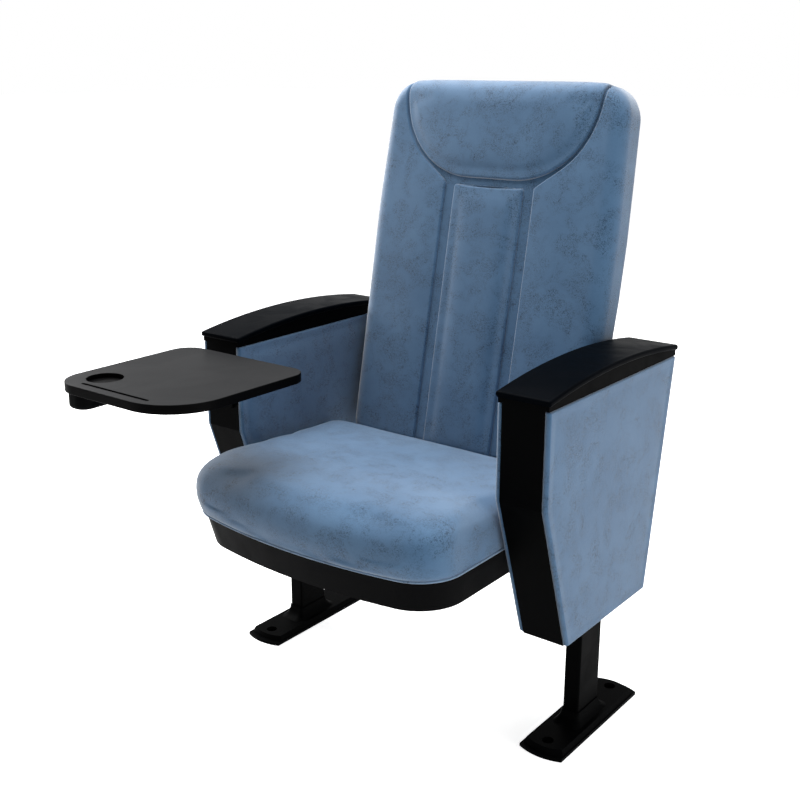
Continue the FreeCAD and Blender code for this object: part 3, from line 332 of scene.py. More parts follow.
# %% Dress the CAD nodes
FINISH = {
    "blue_fabric": velour_cover,
    "black_steel": powder_coat,
    "black_armrest": armrest_satin,
    "black_wood": armrest_wood,
    "black_plastic": moulded_plastic,
    "tablet_laminate": laminate,
    "plywood": plywood,
    "rubber": rubber,
    "nylon": nylon,
    "steel": zinc_steel,
}
BLACKENED = {"tablet_bracket_screws", "tablet_swing_pin"}
slot_of = {part["node"]: part["material_slot"] for part in frame["record"]["subparts"]}
for name, cad in frame["nodes"].items():
    finish = powder_coat if name in BLACKENED else FINISH[slot_of[name]]
    if not cad.material_slots:
        cad.data.materials.append(finish)
    for slot in cad.material_slots:
        slot.material = finish
print("dressed", len(slot_of), "CAD nodes")

# %% [markdown]
# A sheet is a grid of points worked out as one array. These helpers turn grids into meshes: the
# quads come from index arithmetic, two sheets that share their rim are welded into a closed pad, and
# a tube follows a closed path.

# %% Helpers for meshes


def grid_faces(rows, columns, ring=False):
    """Quads between neighbours of a rows by columns grid; ring joins the last column to the first."""
    r, c = np.meshgrid(np.arange(rows - 1), np.arange(columns if ring else columns - 1), indexing="ij")
    after = (c + 1) % columns
    quads = (r * columns + c, r * columns + after, (r + 1) * columns + after, (r + 1) * columns + c)
    return np.stack(quads, axis=-1).reshape(-1, 4)


def new_piece(name, points, faces, material):
    """A smooth mesh object at the origin from points in millimetres, welded, its normals recalculated."""
    mesh = bpy.data.meshes.new(name)
    mesh.from_pydata((points.reshape(-1, 3) * MM).tolist(), [], faces.tolist())
    work = bmesh.new()
    work.from_mesh(mesh)
    bmesh.ops.remove_doubles(work, verts=work.verts, dist=0.004 * MM)
    bmesh.ops.dissolve_degenerate(work, edges=work.edges, dist=0.002 * MM)
    bmesh.ops.recalc_face_normals(work, faces=work.faces)
    work.to_mesh(mesh)
    work.free()
    mesh.shade_smooth()
    mesh.materials.append(material)
    piece = bpy.data.objects.new(name, mesh)
    bpy.context.scene.collection.objects.link(piece)
    return piece


def closed_pad(name, front, back, material):
    """Weld a front sheet and a back sheet that share their rim."""
    rows, columns = front.shape[:2]
    quads = grid_faces(rows, columns)
    points = np.concatenate([front.reshape(-1, 3), back.reshape(-1, 3)])
    return new_piece(name, points, np.concatenate([quads, quads[:, ::-1] + rows * columns]), material)


def tube(name, path, normal, radius, material, sides=10):
    """A closed tube: at each point of the path a circle spanned by the normal and the sideways way."""
    ahead = np.roll(path, -1, axis=0) - np.roll(path, 1, axis=0)
    ahead /= np.linalg.norm(ahead, axis=1, keepdims=True)
    side = np.cross(ahead, normal)
    side /= np.linalg.norm(side, axis=1, keepdims=True)
    up = np.cross(side, ahead)
    turn = np.linspace(0.0, 2.0 * np.pi, sides, endpoint=False)
    circle = np.cos(turn)[None, :, None] * up[:, None] + np.sin(turn)[None, :, None] * side[:, None]
    points = path[:, None] + radius * circle
    points = np.concatenate([points, points[:1]])
    return new_piece(name, points, grid_faces(len(points), sides, ring=True), material)


print("mesh helpers ready")

# %% [markdown]
# Each cover panel is a flat region with an outline. The next helpers work on such regions: rounding
# the outline's corners, filling it with a grid whose lines crowd together near the edge, where
# the cloth rolls over, and measuring how far every point is from the edge.

# %% Helpers for flat regions


def smooth(x, low, high):
    """0 below low, 1 above high, and the curve 3t^2 - 2t^3 between."""
    t = np.clip((x - low) / (high - low), 0.0, 1.0)
    return t * t * (3.0 - 2.0 * t)


def crowded(count, tight):
    """0 to 1 in count steps that are shorter near both ends, after a hyperbolic tangent."""
    x = np.linspace(-1.0, 1.0, count)
    return 0.5 + 0.5 * np.tanh(tight * x) / np.tanh(tight)


def rounded(corners, radius, steps=8):
    """Replace each corner of a polygon by an arc of that radius, as short chords."""
    corners = np.asarray(corners, float)
    before = np.roll(corners, 1, axis=0) - corners
    after = np.roll(corners, -1, axis=0) - corners
    before /= np.linalg.norm(before, axis=1, keepdims=True)
    after /= np.linalg.norm(after, axis=1, keepdims=True)
    half = 0.5 * np.arccos(np.clip((before * after).sum(1), -1.0, 1.0))[:, None]
    middle = before + after
    middle /= np.linalg.norm(middle, axis=1, keepdims=True)
    centre = corners + middle * radius / np.sin(half)
    start = corners + before * radius / np.tan(half) - centre
    end = corners + after * radius / np.tan(half) - centre
    share = np.linspace(0.0, 1.0, steps)[None, :, None]
    chord = start[:, None] * (1.0 - share) + end[:, None] * share
    chord *= radius / np.linalg.norm(chord, axis=2, keepdims=True)
    return (centre[:, None] + chord).reshape(-1, 2)


def dense(outline, step):
    """Points about step apart along a closed outline, its own corners among them."""
    ahead = np.roll(outline, -1, axis=0) - outline
    parts = np.maximum(1, np.ceil(np.linalg.norm(ahead, axis=1) / step).astype(int))
    which = np.repeat(np.arange(len(outline)), parts)
    share = np.concatenate([np.arange(n) / n for n in parts])
    return outline[which] + ahead[which] * share[:, None]


def edge_distance(outline, points):
    """Least distance from each point to the sides of an outline, taken in blocks of sides."""
    flat = points.reshape(-1, 2)
    least = np.full(len(flat), np.inf)
    ahead = np.roll(outline, -1, axis=0) - outline
    size = np.maximum((ahead ** 2).sum(1), 1e-12)
    for start in range(0, len(outline), 48):
        a, d, s = outline[start:start + 48], ahead[start:start + 48], size[start:start + 48]
        away = flat[:, None] - a[None]
        t = np.clip((away * d[None]).sum(2) / s[None], 0.0, 1.0)
        least = np.minimum(least, np.hypot(*np.moveaxis(away - t[..., None] * d[None], 2, 0)).min(1))
    return least.reshape(points.shape[:-1])


def fill(outline, axis, rows, columns):
    """Ruled grid over a region: rows at one coordinate, each from the outline's low to its high side."""
    along, across = outline[:, axis], outline[:, 1 - axis]
    next_along, next_across = np.roll(along, -1), np.roll(across, -1)
    level = along.min() + (along.max() - along.min()) * rows
    run = next_along - along
    t = np.clip((level[:, None] - along) / np.where(np.abs(run) < 1e-9, 1e-9, run), 0.0, 1.0)
    crossing = across + t * (next_across - across)
    missed = (along - level[:, None]) * (next_along - level[:, None]) > 1e-9
    low = np.where(missed, np.inf, crossing).min(1)
    high = np.where(missed, -np.inf, crossing).max(1)
    grid = np.empty((len(rows), len(columns), 2))
    grid[..., axis] = level[:, None]
    grid[..., 1 - axis] = low[:, None] + (high - low)[:, None] * columns
    return grid


print("region helpers ready")

# %% [markdown]
# Foam under a tight cover swells between its seams. The swelling comes from Blender's cloth: a
# coarse copy of the pad is blown up with its rim and its back held, the movement is limited, and a
# smooth curve through the coarse points carries it to the fine mesh. That way the seams stay crisp,
# where a remeshed cushion would lose them.

# %% Cloth that swells a pad
SIMULATED_FRAMES = 20
PRESSURE = 4.0


def blow_up(name, points, faces, held, cap):
    """Simulate a closed coarse mesh and return how far each point moves, softly limited to cap."""
    mesh = bpy.data.meshes.new(name)
    mesh.from_pydata((points * MM).tolist(), [], faces)
    work = bmesh.new()
    work.from_mesh(mesh)
    bmesh.ops.recalc_face_normals(work, faces=work.faces)
    work.to_mesh(mesh)
    work.free()
    blown = bpy.data.objects.new(name, mesh)
    bpy.context.scene.collection.objects.link(blown)
    group = blown.vertex_groups.new(name="held")
    group.add(np.flatnonzero(held).tolist(), 1.0, "REPLACE")
    cloth = blown.modifiers.new("cloth", "CLOTH")
    settings = cloth.settings
    settings.quality = 6
    settings.mass = 0.3
    settings.tension_stiffness = settings.compression_stiffness = 12.0
    settings.bending_stiffness = 1.5
    settings.use_pressure = True
    settings.uniform_pressure_force = PRESSURE
    settings.vertex_group_mass = "held"
    settings.effector_weights.gravity = 0.0
    cloth.point_cache.frame_end = SIMULATED_FRAMES
    scene = bpy.context.scene
    for frame_number in range(1, SIMULATED_FRAMES + 1):
        scene.frame_set(frame_number)
    evaluated = blown.evaluated_get(bpy.context.evaluated_depsgraph_get())
    moved = np.empty(len(points) * 3)
    evaluated.to_mesh().vertices.foreach_get("co", moved)
    evaluated.to_mesh_clear()
    scene.frame_set(1)
    bpy.data.objects.remove(blown)
    shift = moved.reshape(-1, 3) / MM - points
    length = np.maximum(np.linalg.norm(shift, axis=1, keepdims=True), 1e-9)
    print(name, "swelled by up to", round(float(length.max()), 1), "mm before the cap of", cap)
    return shift * (cap * np.tanh(length / cap) / length)


def through(table, place):
    """Catmull-Rom curve through the rows of a table, read at fractional row numbers."""
    last = len(table) - 1
    low = np.clip(np.floor(place).astype(int), 0, last - 1)
    f = (place - low).reshape((-1,) + (1,) * (table.ndim - 1))
    p0, p1 = table[np.maximum(low - 1, 0)], table[low]
    p2, p3 = table[low + 1], table[np.minimum(low + 2, last)]
    bend = 2.0 * p0 - 5.0 * p1 + 4.0 * p2 - p3
    return p1 + 0.5 * f * (p2 - p0 + f * (bend + f * (3.0 * (p1 - p2) + p3 - p0)))


def spread(table, rows, columns):
    """Read a coarse grid at the fine grid's rows and columns, both given from 0 to 1."""
    by_row = through(table, rows * (len(table) - 1))
    turned = through(np.swapaxes(by_row, 0, 1), columns * (table.shape[1] - 1))
    return np.swapaxes(turned, 0, 1)


print("cloth helper ready")

# %% [markdown]
# A pad is its region lifted off a base surface. Near the edge the cover rolls down steeply, like a
# quarter of an ellipse; further in it rises gently over the foam; and the cloth adds its swelling.
# Its back is the same region sunk a little below the base, so that no gap shows under the roll.

# %% Make a pad from a region
COARSE_STEP = 12.0


def pad(name, outline, lift, axis, counts, tight, rise, roll, crown, crown_reach, swell, sink=1.2):
    """Build a closed pad: height = rise * quarter ellipse of the edge distance + crown * parabola."""

    def height(distance):
        edge = np.sqrt(1.0 - (1.0 - np.clip(distance / roll, 0.0, 1.0)) ** 2)
        dome = 1.0 - (1.0 - np.clip(distance / crown_reach, 0.0, 1.0)) ** 2
        return -sink + (rise + sink) * edge + crown * dome

    rows, columns = crowded(counts[0], tight[0]), crowded(counts[1], tight[1])
    plan = fill(outline, axis, rows, columns)
    front = lift(plan, height(edge_distance(outline, plan)))
    back = lift(plan, np.full(plan.shape[:2], -sink))

    # The cloth blows up a coarse copy of the same pad
    spans = (np.ptp(outline[:, axis]), np.ptp(outline[:, 1 - axis]))
    coarse_rows, coarse_columns = (np.linspace(0.0, 1.0, max(8, int(span / COARSE_STEP))) for span in spans)
    coarse_plan = fill(outline, axis, coarse_rows, coarse_columns)
    coarse_front = lift(coarse_plan, height(edge_distance(outline, coarse_plan)))
    inner = lift(coarse_plan, np.full(coarse_plan.shape[:2], -4.0 * sink))[1:-1, 1:-1]
    points, faces, held = coarse_shell(coarse_front, inner)
    moved = blow_up(name + "_swell", points, faces, held, swell)
    shift = moved[:coarse_front.shape[0] * coarse_front.shape[1]].reshape(coarse_front.shape)
    fade = smooth(edge_distance(outline, plan), 0.5 * roll, 6.0 * roll)[..., None]
    front = front + spread(shift, rows, columns) * fade
    front[[0, -1]], front[:, [0, -1]] = back[[0, -1]], back[:, [0, -1]]
    return closed_pad(name, front, back, velour_cover)


def coarse_shell(front, inner):
    """Join a front grid to a smaller inner grid behind it; all but the front's inside is held."""
    rows, columns = front.shape[:2]
    index = np.arange(rows * columns).reshape(rows, columns)
    behind = index.copy()
    count = (rows - 2) * (columns - 2)
    behind[1:-1, 1:-1] = rows * columns + np.arange(count).reshape(rows - 2, columns - 2)
    corners = (behind[:-1, :-1], behind[1:, :-1], behind[1:, 1:], behind[:-1, 1:])
    faces = np.concatenate([grid_faces(rows, columns), np.stack(corners, axis=-1).reshape(-1, 4)])
    points = np.concatenate([front.reshape(-1, 3), inner.reshape(-1, 3)])
    held = np.ones(len(points), bool)
    held[index[1:-1, 1:-1]] = False
    return points, faces.tolist(), held


print("pad helper ready")

# %% [markdown]
# ## The back
#
# The back is one crowned block of foam with pads sewn over it: a headrest with a U shaped lower
# edge, a narrow centre panel and two wings that wrap round the sides. Between them run flat strips.
# The block is described by a function from an unrolled plan to space: inside the core outline the
# plan is the front face, and beyond it the plan's distance runs on round the edge and down the side.

# %% The back's frame and its wrapped surface
RECLINE = math.radians(11.03)
BACK_FOOT = np.array([0.0, 63.3, 386.0])
BACK_UP = np.array([0.0, math.sin(RECLINE), math.cos(RECLINE)])
BACK_OUT = np.array([0.0, -math.cos(RECLINE), math.sin(RECLINE)])
BACK_ACROSS = np.array([1.0, 0.0, 0.0])
CORE_HALF = 214.5
CORE_V = (10.0, 610.0)
CORE_R = (6.0, 29.0)
FOOT_SQUEEZE = 0.6
STRIP_W = -4.0
FRONT_R = 20.0
SIDE_DEPTH = (46.0, 52.0)
REAR_R = 8.0
BACK_CROWN = 5.0
CROWN_HALF = 240.0
TOP_NARROWS = 0.03
WRAP = 0.5 * math.pi * FRONT_R + SIDE_DEPTH[0] - REAR_R - 2.0


def back_space(u, v, w):
    """Across, up and out to space; the top is drawn in a little and the foot's roll is squeezed."""
    narrow = 1.0 - TOP_NARROWS * smooth(v, 380.0, 600.0)
    v = np.where(v < CORE_V[0], CORE_V[0] + (v - CORE_V[0]) * FOOT_SQUEEZE, v)
    spots = (u * narrow)[..., None] * BACK_ACROSS + v[..., None] * BACK_UP + w[..., None] * BACK_OUT
    return BACK_FOOT + spots


def side_depth(v):
    """The side is a little deeper above the brackets than beside them."""
    return SIDE_DEPTH[0] + (SIDE_DEPTH[1] - SIDE_DEPTH[0]) * smooth(v, 190.0, 250.0)


def edge_profile(run, depth):
    """How far out and how far down the edge goes after a run: an arc, a straight side, an arc."""
    side_run = depth - REAR_R
    first = np.clip(run / FRONT_R, 0.0, 0.5 * np.pi)
    straight = np.clip(run - 0.5 * np.pi * FRONT_R, 0.0, side_run)
    last = np.clip((run - 0.5 * np.pi * FRONT_R - side_run) / REAR_R, 0.0, 0.5 * np.pi)
    out = FRONT_R * np.sin(first) - REAR_R * (1.0 - np.cos(last))
    down = FRONT_R * (1.0 - np.cos(first)) + straight + REAR_R * np.sin(last)
    return out, down


def back_skin(u, v):
    """Unrolled plan to the block's surface: the nearest core point, then the edge profile outwards."""
    radius = np.where(v > 0.5 * CORE_V[1], CORE_R[1], CORE_R[0])
    mid_u = np.clip(u, radius - CORE_HALF, CORE_HALF - radius)
    mid_v = np.clip(v, CORE_V[0] + radius, CORE_V[1] - radius)
    distance = np.maximum(np.hypot(u - mid_u, v - mid_v), 1e-9)
    way_u, way_v = (u - mid_u) / distance, (v - mid_v) / distance
    run = np.maximum(distance - radius, 0.0)
    out, down = edge_profile(run, side_depth(mid_v))
    reach = np.minimum(distance, radius) + out
    place_u, place_v = mid_u + way_u * reach, mid_v + way_v * reach
    crown = BACK_CROWN * (1.0 - (place_u / CROWN_HALF) ** 2)
    crown *= 1.0 - 0.9 * np.clip(down / FRONT_R, 0.0, 1.0)
    return back_space(place_u, place_v, STRIP_W + crown - down)


def back_lift(plan, height):
    """Raise plan points off the skin along its normal, found from small steps in u and v."""
    u, v = plan[..., 0], plan[..., 1]
    step = 0.25
    over_u = back_skin(u + step, v) - back_skin(u - step, v)
    over_v = back_skin(u, v + step) - back_skin(u, v - step)
    normal = np.cross(over_u, over_v)
    normal /= np.linalg.norm(normal, axis=-1, keepdims=True)
    return back_skin(u, v) + normal * height[..., None]


print("back wraps", round(WRAP, 1), "mm round its edge")

# %% [markdown]
# The block itself is built from rings: the medial line opens out to the core outline, the rings
# follow the edge profile, and behind they turn in over the plywood board as a thin lapped hem, then
# under it into the pocket that the board sits in.

# %% The back's block


def ring(half, low, high, low_r, high_r, count=64):
    """A rectangle with rounded corners as 4 * count points, its lower and upper radii given."""
    turn = np.linspace(0.0, 0.5 * np.pi, count, endpoint=False)
    quarters = []
    places = ((1, high, high_r), (-1, high, high_r), (-1, low, low_r), (1, low, low_r))
    for number, (side, level, r) in enumerate(places):
        inward = -1.0 if level == high else 1.0
        angle = turn + 0.5 * np.pi * number
        u = side * (half - r) + r * np.cos(angle)
        v = level + inward * r + r * np.sin(angle)
        quarters.append(np.stack([u, v], axis=-1))
    return np.concatenate(quarters)


def subdivided(points, parts):
    """Put parts - 1 even points between neighbours of a closed ring."""
    share = np.arange(parts)[None, :, None] / parts
    return (points[:, None] * (1.0 - share) + np.roll(points, -1, axis=0)[:, None] * share).reshape(-1, 2)


def grown(amount):
    corners = ring(CORE_HALF + amount, CORE_V[0] - amount, CORE_V[1] + amount,
                   CORE_R[0] + amount, CORE_R[1] + amount, 9)
    return subdivided(corners, 6)


core_ring = grown(0.0)
medial = np.stack([np.zeros(len(core_ring)), np.clip(core_ring[:, 1], 210.0, 430.0)], axis=-1)
opening = np.linspace(0.0, 1.0, 30)[:, None, None]
front_plan = medial + (core_ring - medial) * opening
rings = [back_skin(front_plan[..., 0], front_plan[..., 1])]
outward = grown(1.0) - core_ring
total_run = 0.5 * math.pi * (FRONT_R + REAR_R) - REAR_R + side_depth(core_ring[:, 1])
for share in np.linspace(0.0, 1.0, 30)[1:]:
    plan = core_ring + outward * (share * total_run)[:, None]
    rings.append(back_skin(plan[:, 0], plan[:, 1])[None])

BOARD_W = -70.0
HEM_W = BOARD_W - 0.7
POCKET_W = BOARD_W + 10.2
# Each row of the hem: half width, lowest, highest, lower and upper corner radius, depth
hem = ((204.0, 19.0, 597.0, 30.0, 49.0, HEM_W), (200.0, 23.0, 593.0, 40.0, 46.0, HEM_W),
       (199.6, 23.4, 592.6, 40.0, 46.0, BOARD_W - 0.1), (205.4, 17.6, 598.4, 48.0, 50.0, BOARD_W - 0.1),
       (205.4, 17.6, 598.4, 48.0, 50.0, POCKET_W))
for half, low, high, low_r, high_r, w in hem:
    plan = subdivided(ring(half, low, high, low_r, high_r, 9), 6)
    rings.append(back_space(plan[:, 0], plan[:, 1], np.full(len(plan), w))[None])
closing = np.linspace(1.0, 0.0, 6)[1:, None, None]
floor_plan = medial + (plan - medial) * closing
rings.append(back_space(floor_plan[..., 0], floor_plan[..., 1], np.full(floor_plan.shape[:2], POCKET_W)))
rings = np.concatenate(rings)
back_block = new_piece("back_block", rings, grid_faces(*rings.shape[:2], ring=True), velour_cover)
print("back block:", len(back_block.data.polygons), "faces")

# %% [markdown]
# The pads' outlines are lines and arcs in the unrolled plan, taken from the photograph: the headrest
# is an arc of 152 mm on each side of a straight run, the wings follow it a few millimetres away and
# leave it on a slanting line to the top of each channel, and the centre panel lies between the
# channels. Each outline goes on round the edge of the block as far as the rear seam.

# %% Outlines of the back's pads
HEAD_U = 46.0
HEAD_R = 152.0
HEAD_V = 623.0
WING_EDGE_U = 89.0
WING_TOP_V = 461.5
WING_ARC = (155.0, 158.0)
CENTRE_EDGE_U = 70.5
CENTRE_TOP_V = 457.0
FOOT_V = CORE_V[0] - WRAP


def far_v(u, amount):
    """Height of the top corner's arc in the unrolled plan, amount beyond the core outline."""
    beyond = np.maximum(np.abs(u) - (CORE_HALF - CORE_R[1]), 0.0)
    return CORE_V[1] - CORE_R[1] + np.sqrt((CORE_R[1] + amount) ** 2 - beyond ** 2)


turn = np.linspace(0.0, 0.5 * np.pi, 50)
quarter = np.stack([HEAD_U + HEAD_R * np.sin(turn), HEAD_V - HEAD_R * np.cos(turn)], axis=-1)
head_top_u = np.linspace(HEAD_U + HEAD_R, 0.0, 40)[:-1]
head_top = np.stack([head_top_u, far_v(head_top_u, WRAP)], axis=-1)
right_half = np.concatenate([[[0.0, HEAD_V - HEAD_R]], quarter, head_top])
head_outline = np.concatenate([right_half, (right_half * [-1.0, 1.0])[:0:-1]])

sag_u = np.linspace(CENTRE_EDGE_U - 3.0, 3.0 - CENTRE_EDGE_U, 13)
sag = np.stack([sag_u, CENTRE_TOP_V + 2.5 * (sag_u / CENTRE_EDGE_U) ** 2], axis=-1)
shoulders = [[CENTRE_EDGE_U, CENTRE_TOP_V - 2.0], [-CENTRE_EDGE_U, CENTRE_TOP_V - 2.0]]
centre_outline = np.concatenate([[[-CENTRE_EDGE_U, FOOT_V], [CENTRE_EDGE_U, FOOT_V]],
                                 shoulders[:1], sag, shoulders[1:]])

leave = math.acos((143.0 - HEAD_U) / WING_ARC[0])
turn = np.linspace(leave, 0.0, 40)
inner_arc = np.stack([HEAD_U + WING_ARC[0] * np.cos(turn), HEAD_V - WING_ARC[1] * np.sin(turn)], axis=-1)
top_u = np.linspace(HEAD_U + WING_ARC[0], CORE_HALF - CORE_R[1], 8)[1:-1]
start = np.arccos((HEAD_U + WING_ARC[0] - CORE_HALF + CORE_R[1]) / (CORE_R[1] + WRAP))
swing = np.linspace(start, 0.0, 30)
top_arc = np.stack([CORE_HALF - CORE_R[1] + (CORE_R[1] + WRAP) * np.cos(swing),
                    CORE_V[1] - CORE_R[1] + (CORE_R[1] + WRAP) * np.sin(swing)], axis=-1)
swing = np.linspace(0.0, -0.5 * np.pi, 16)
foot_arc = np.stack([CORE_HALF - CORE_R[0] + (CORE_R[0] + WRAP) * np.cos(swing),
                     CORE_V[0] + CORE_R[0] + (CORE_R[0] + WRAP) * np.sin(swing)], axis=-1)
wing_outline = np.concatenate([[[WING_EDGE_U, FOOT_V], [WING_EDGE_U, WING_TOP_V]],
                               inner_arc, top_arc, foot_arc[:-1]])[::-1]
print("outlines:", len(head_outline), len(centre_outline), len(wing_outline), "points")

# %% [markdown]
# The pads roll over within about 4 mm and stand about 5 mm above the strips. The headrest is the
# fullest. The cloth moves the headrest and the centre panel. It leaves the wings as they are, so their
# form is the roll and the crown alone. The centre panel's faces point inwards, which is still to mend.

# %% The back's pads
PAD_RISE = 4.6
PAD_ROLL = 3.6
OUTLINE_STEP = 4.0
head_pad = pad("head_pad", dense(head_outline, OUTLINE_STEP), back_lift, axis=0, counts=(150, 64),
               tight=(2.2, 1.8), rise=PAD_RISE + 0.8, roll=PAD_ROLL + 0.6, crown=3.2, crown_reach=70.0,
               swell=3.0)
centre_pad = pad("centre_pad", dense(centre_outline, OUTLINE_STEP), back_lift, axis=1, counts=(110, 56),
                 tight=(2.0, 2.0), rise=PAD_RISE, roll=PAD_ROLL, crown=2.2, crown_reach=40.0, swell=2.0)
wing_pads = []
for side, label in ((1.0, "right"), (-1.0, "left")):
    outline = dense(wing_outline * [side, 1.0], OUTLINE_STEP)
    wing_pads.append(pad("wing_pad_" + label, outline, back_lift, axis=1, counts=(190, 72),
                         tight=(1.7, 2.2), rise=PAD_RISE, roll=PAD_ROLL, crown=2.6, crown_reach=60.0,
                         swell=2.0))
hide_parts("back_cushion")
for piece in [back_block, head_pad, centre_pad] + wing_pads:
    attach(piece, "stand")
print("back pads:", [len(piece.data.polygons) for piece in [head_pad, centre_pad] + wing_pads])

# %% [markdown]
# ## The seat cushion
#
# The cushion is one moulded foam block under a single cover. Its plan is bowed in front, with large
# front corners, straight sides and small rear corners. Plans at eleven heights give its crown, its
# drawn-in sides and the rolled front edge, and a smooth curve through their measures fills in
# the rings between. Higher rings lean back a little, because the seat is thicker in front.

# %% The seat cushion's rings
BOW_R = 950.0
REAR_CORNER_R = 18.0
# Each row: height, half width, front, rear, radius of the front corners
LEVELS = np.array([
    (346.4, 242.0, -358.5, 39.0, 74.0),
    (347.0, 244.6, -361.5, 41.5, 74.0),
    (354.0, 247.0, -370.0, 44.5, 71.0),
    (370.0, 247.6, -377.0, 47.0, 70.0),
    (386.0, 247.6, -378.0, 47.5, 70.0),
    (400.0, 246.5, -372.0, 44.0, 70.0),
    (411.0, 241.5, -357.0, 32.0, 71.0),
    (419.0, 228.5, -330.0, 9.0, 68.0),
    (424.0, 197.0, -283.0, -25.0, 58.0),
    (426.6, 132.0, -213.0, -66.0, 40.0),
    (427.2, 62.0, -165.0, -100.0, 20.0),
])
SEAT_LEAN = math.radians(-3.6)
SEAT_LEAN_Y = -160.0


def seat_plan(level, counts=(22, 12, 26, 5, 16)):
    """One ring for each row (z, half width, front, rear, corner radius): bow, corner, side, corner, rear."""
    z, half, front, rear, corner = (level[:, i:i + 1] for i in range(5))
    small = np.minimum(REAR_CORNER_R, 0.5 * corner)
    centre_y = front + BOW_R
    corner_x = half - corner
    limit = np.arcsin(corner_x / (BOW_R - corner))
    corner_y = centre_y - (BOW_R - corner) * np.cos(limit)
    bow, bend, side, nook, rear_run = (np.linspace(0.0, 1.0, n, endpoint=False)[None] for n in counts)
    a = limit * bow
    b = limit + (0.5 * np.pi - limit) * bend
    c = 0.5 * np.pi * nook
    side_end = rear - small
    x = [BOW_R * np.sin(a), corner_x + corner * np.sin(b), half + 0.0 * side,
         half - small + small * np.cos(c), (half - small) * (1.0 - rear_run), np.zeros_like(z)]
    y = [centre_y - BOW_R * np.cos(a), corner_y - corner * np.cos(b), corner_y + (side_end - corner_y) * side,
         side_end + small * np.sin(c), rear + 0.0 * rear_run, rear]
    x, y = np.concatenate(x, axis=1), np.concatenate(y, axis=1)
    x, y = np.concatenate([x, -x[:, -2:0:-1]], axis=1), np.concatenate([y, y[:, -2:0:-1]], axis=1)
    lean = SEAT_LEAN * (z - LEVELS[0, 0]) / (LEVELS[-3, 0] - LEVELS[0, 0])
    ahead = y - SEAT_LEAN_Y
    return np.stack([x, SEAT_LEAN_Y + ahead * np.cos(lean), z + ahead * np.sin(lean)], axis=-1)


def seat_shell(steps):
    """Rings from the middle of the underside, out and up over the cushion, to the middle of the top."""
    place = np.linspace(0.0, len(LEVELS) - 1.0, steps)
    sides = seat_plan(through(LEVELS, place))
    shrink = np.linspace(0.0, 1.0, 6)[:-1, None, None]
    middle_low = np.array([0.0, -160.0, LEVELS[0, 0]])
    middle_high = sides[-1].mean(axis=0) + [0.0, 0.0, 0.2]
    under = middle_low + (sides[0] - middle_low) * shrink
    over = middle_high + (sides[-1] - middle_high) * shrink[::-1]
    return np.concatenate([under, sides, over])


seat_rings = seat_shell(100)
print("seat cushion:", seat_rings.shape[0], "rings of", seat_rings.shape[1], "points")

# %% [markdown]
# The cloth works on a coarser copy of the same rings, held where it is fixed to the board, and its
# movement is spread over the fine rings. The front and the top swell most, the sides least, because
# they have only a few millimetres to the arms.

# %% The seat cushion's swelling
SEAT_SWELL = 5.0
SIDEWAYS_SHARE = 0.3
HELD_RINGS = 7
COARSER = 3
coarse = seat_shell(34)[:, ::COARSER]
rows, columns = coarse.shape[:2]
points = np.concatenate([coarse[:1, 0], coarse[1:-1].reshape(-1, 3), coarse[-1:, 0]])
body = grid_faces(rows - 2, columns, ring=True) + 1
first = np.arange(columns)
caps = [np.stack([np.zeros(columns, int), 1 + (first + 1) % columns, 1 + first], axis=-1),
        np.stack([np.full(columns, len(points) - 1), len(points) - 1 - columns + first,
                  len(points) - 1 - columns + (first + 1) % columns], axis=-1)]
held = np.zeros(len(points), bool)
held[:1 + HELD_RINGS * columns] = True
faces = body.tolist() + caps[0].tolist() + caps[1].tolist()
moved = blow_up("seat_swell", points, faces, held, SEAT_SWELL)
grid_moved = np.concatenate([np.repeat(moved[:1], columns, axis=0)[None],
                             moved[1:-1].reshape(rows - 2, columns, 3),
                             np.repeat(moved[-1:], columns, axis=0)[None]])
grid_moved[..., 0] *= SIDEWAYS_SHARE
wrapped = np.concatenate([grid_moved[:, -1:], grid_moved, grid_moved[:, :2]], axis=1)
fine_rows = np.linspace(0.0, 1.0, seat_rings.shape[0])
fine_columns = (1.0 + np.arange(seat_rings.shape[1]) / COARSER) / (wrapped.shape[1] - 1)
seat_rings = seat_rings + spread(wrapped, fine_rows, fine_columns)
seat_cover = new_piece("seat_cover", seat_rings, grid_faces(*seat_rings.shape[:2], ring=True), velour_cover)
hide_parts("seat_cushion")
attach(seat_cover, "seat")
print("seat cover:", len(seat_cover.data.polygons), "faces")

# %% [markdown]
# A thin piping closes the joint between the cushion and the pan. It is a tube along the plan just
# above the pan's rim. Its paler velour paints the highlight of the cushion's lit lower edge.

# %% Seat piping, with a painted highlight
PIPING_R = 1.7
PIPING_Z = 347.9
PIPING_LEVEL = (348.0, 246.2, -364.2, 43.4, 73.6)
piping_plan = seat_plan(np.array([PIPING_LEVEL]), (60, 40, 30, 10, 20))[0]
piping_plan[:, 2] = PIPING_Z
upward = np.broadcast_to([0.0, 0.0, 1.0], piping_plan.shape)
# The pale piping is a painted highlight along the cushion's lower edge.
seat_highlight_piping = tube("seat_highlight_piping", piping_plan, upward, PIPING_R, velour_piping_painted_highlight)
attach(seat_highlight_piping, "seat")
print("seat piping:", len(piping_plan), "points along")

# %% [markdown]
# ## The arm panels
#
# Each arm has two thin upholstered panels that cover its sides from edge to edge. Their outline is
# the arm's own side view. They are pads on a flat base, mirrored for the left arm, and their edge
# turns over tightly, so it catches the light as a thin line. The cloth would swell them by 15 to
# 32 mm; the cap leaves 0.8 mm of it, so what shows is close to an even rise.

# %% Arm panels
# Corners of the side view as (y, z), and for each panel its flat base in x and the way it faces
ARM_CORNERS = np.array([(-203.3, 586.0), (-203.3, 439.5), (-124.2, 198.3), (129.3, 198.3), (192.0, 586.0)])
PANEL_GAP = 0.75
PANEL_BASE = {"outer": (331.0, 1.0), "inner": (261.5, -1.0)}


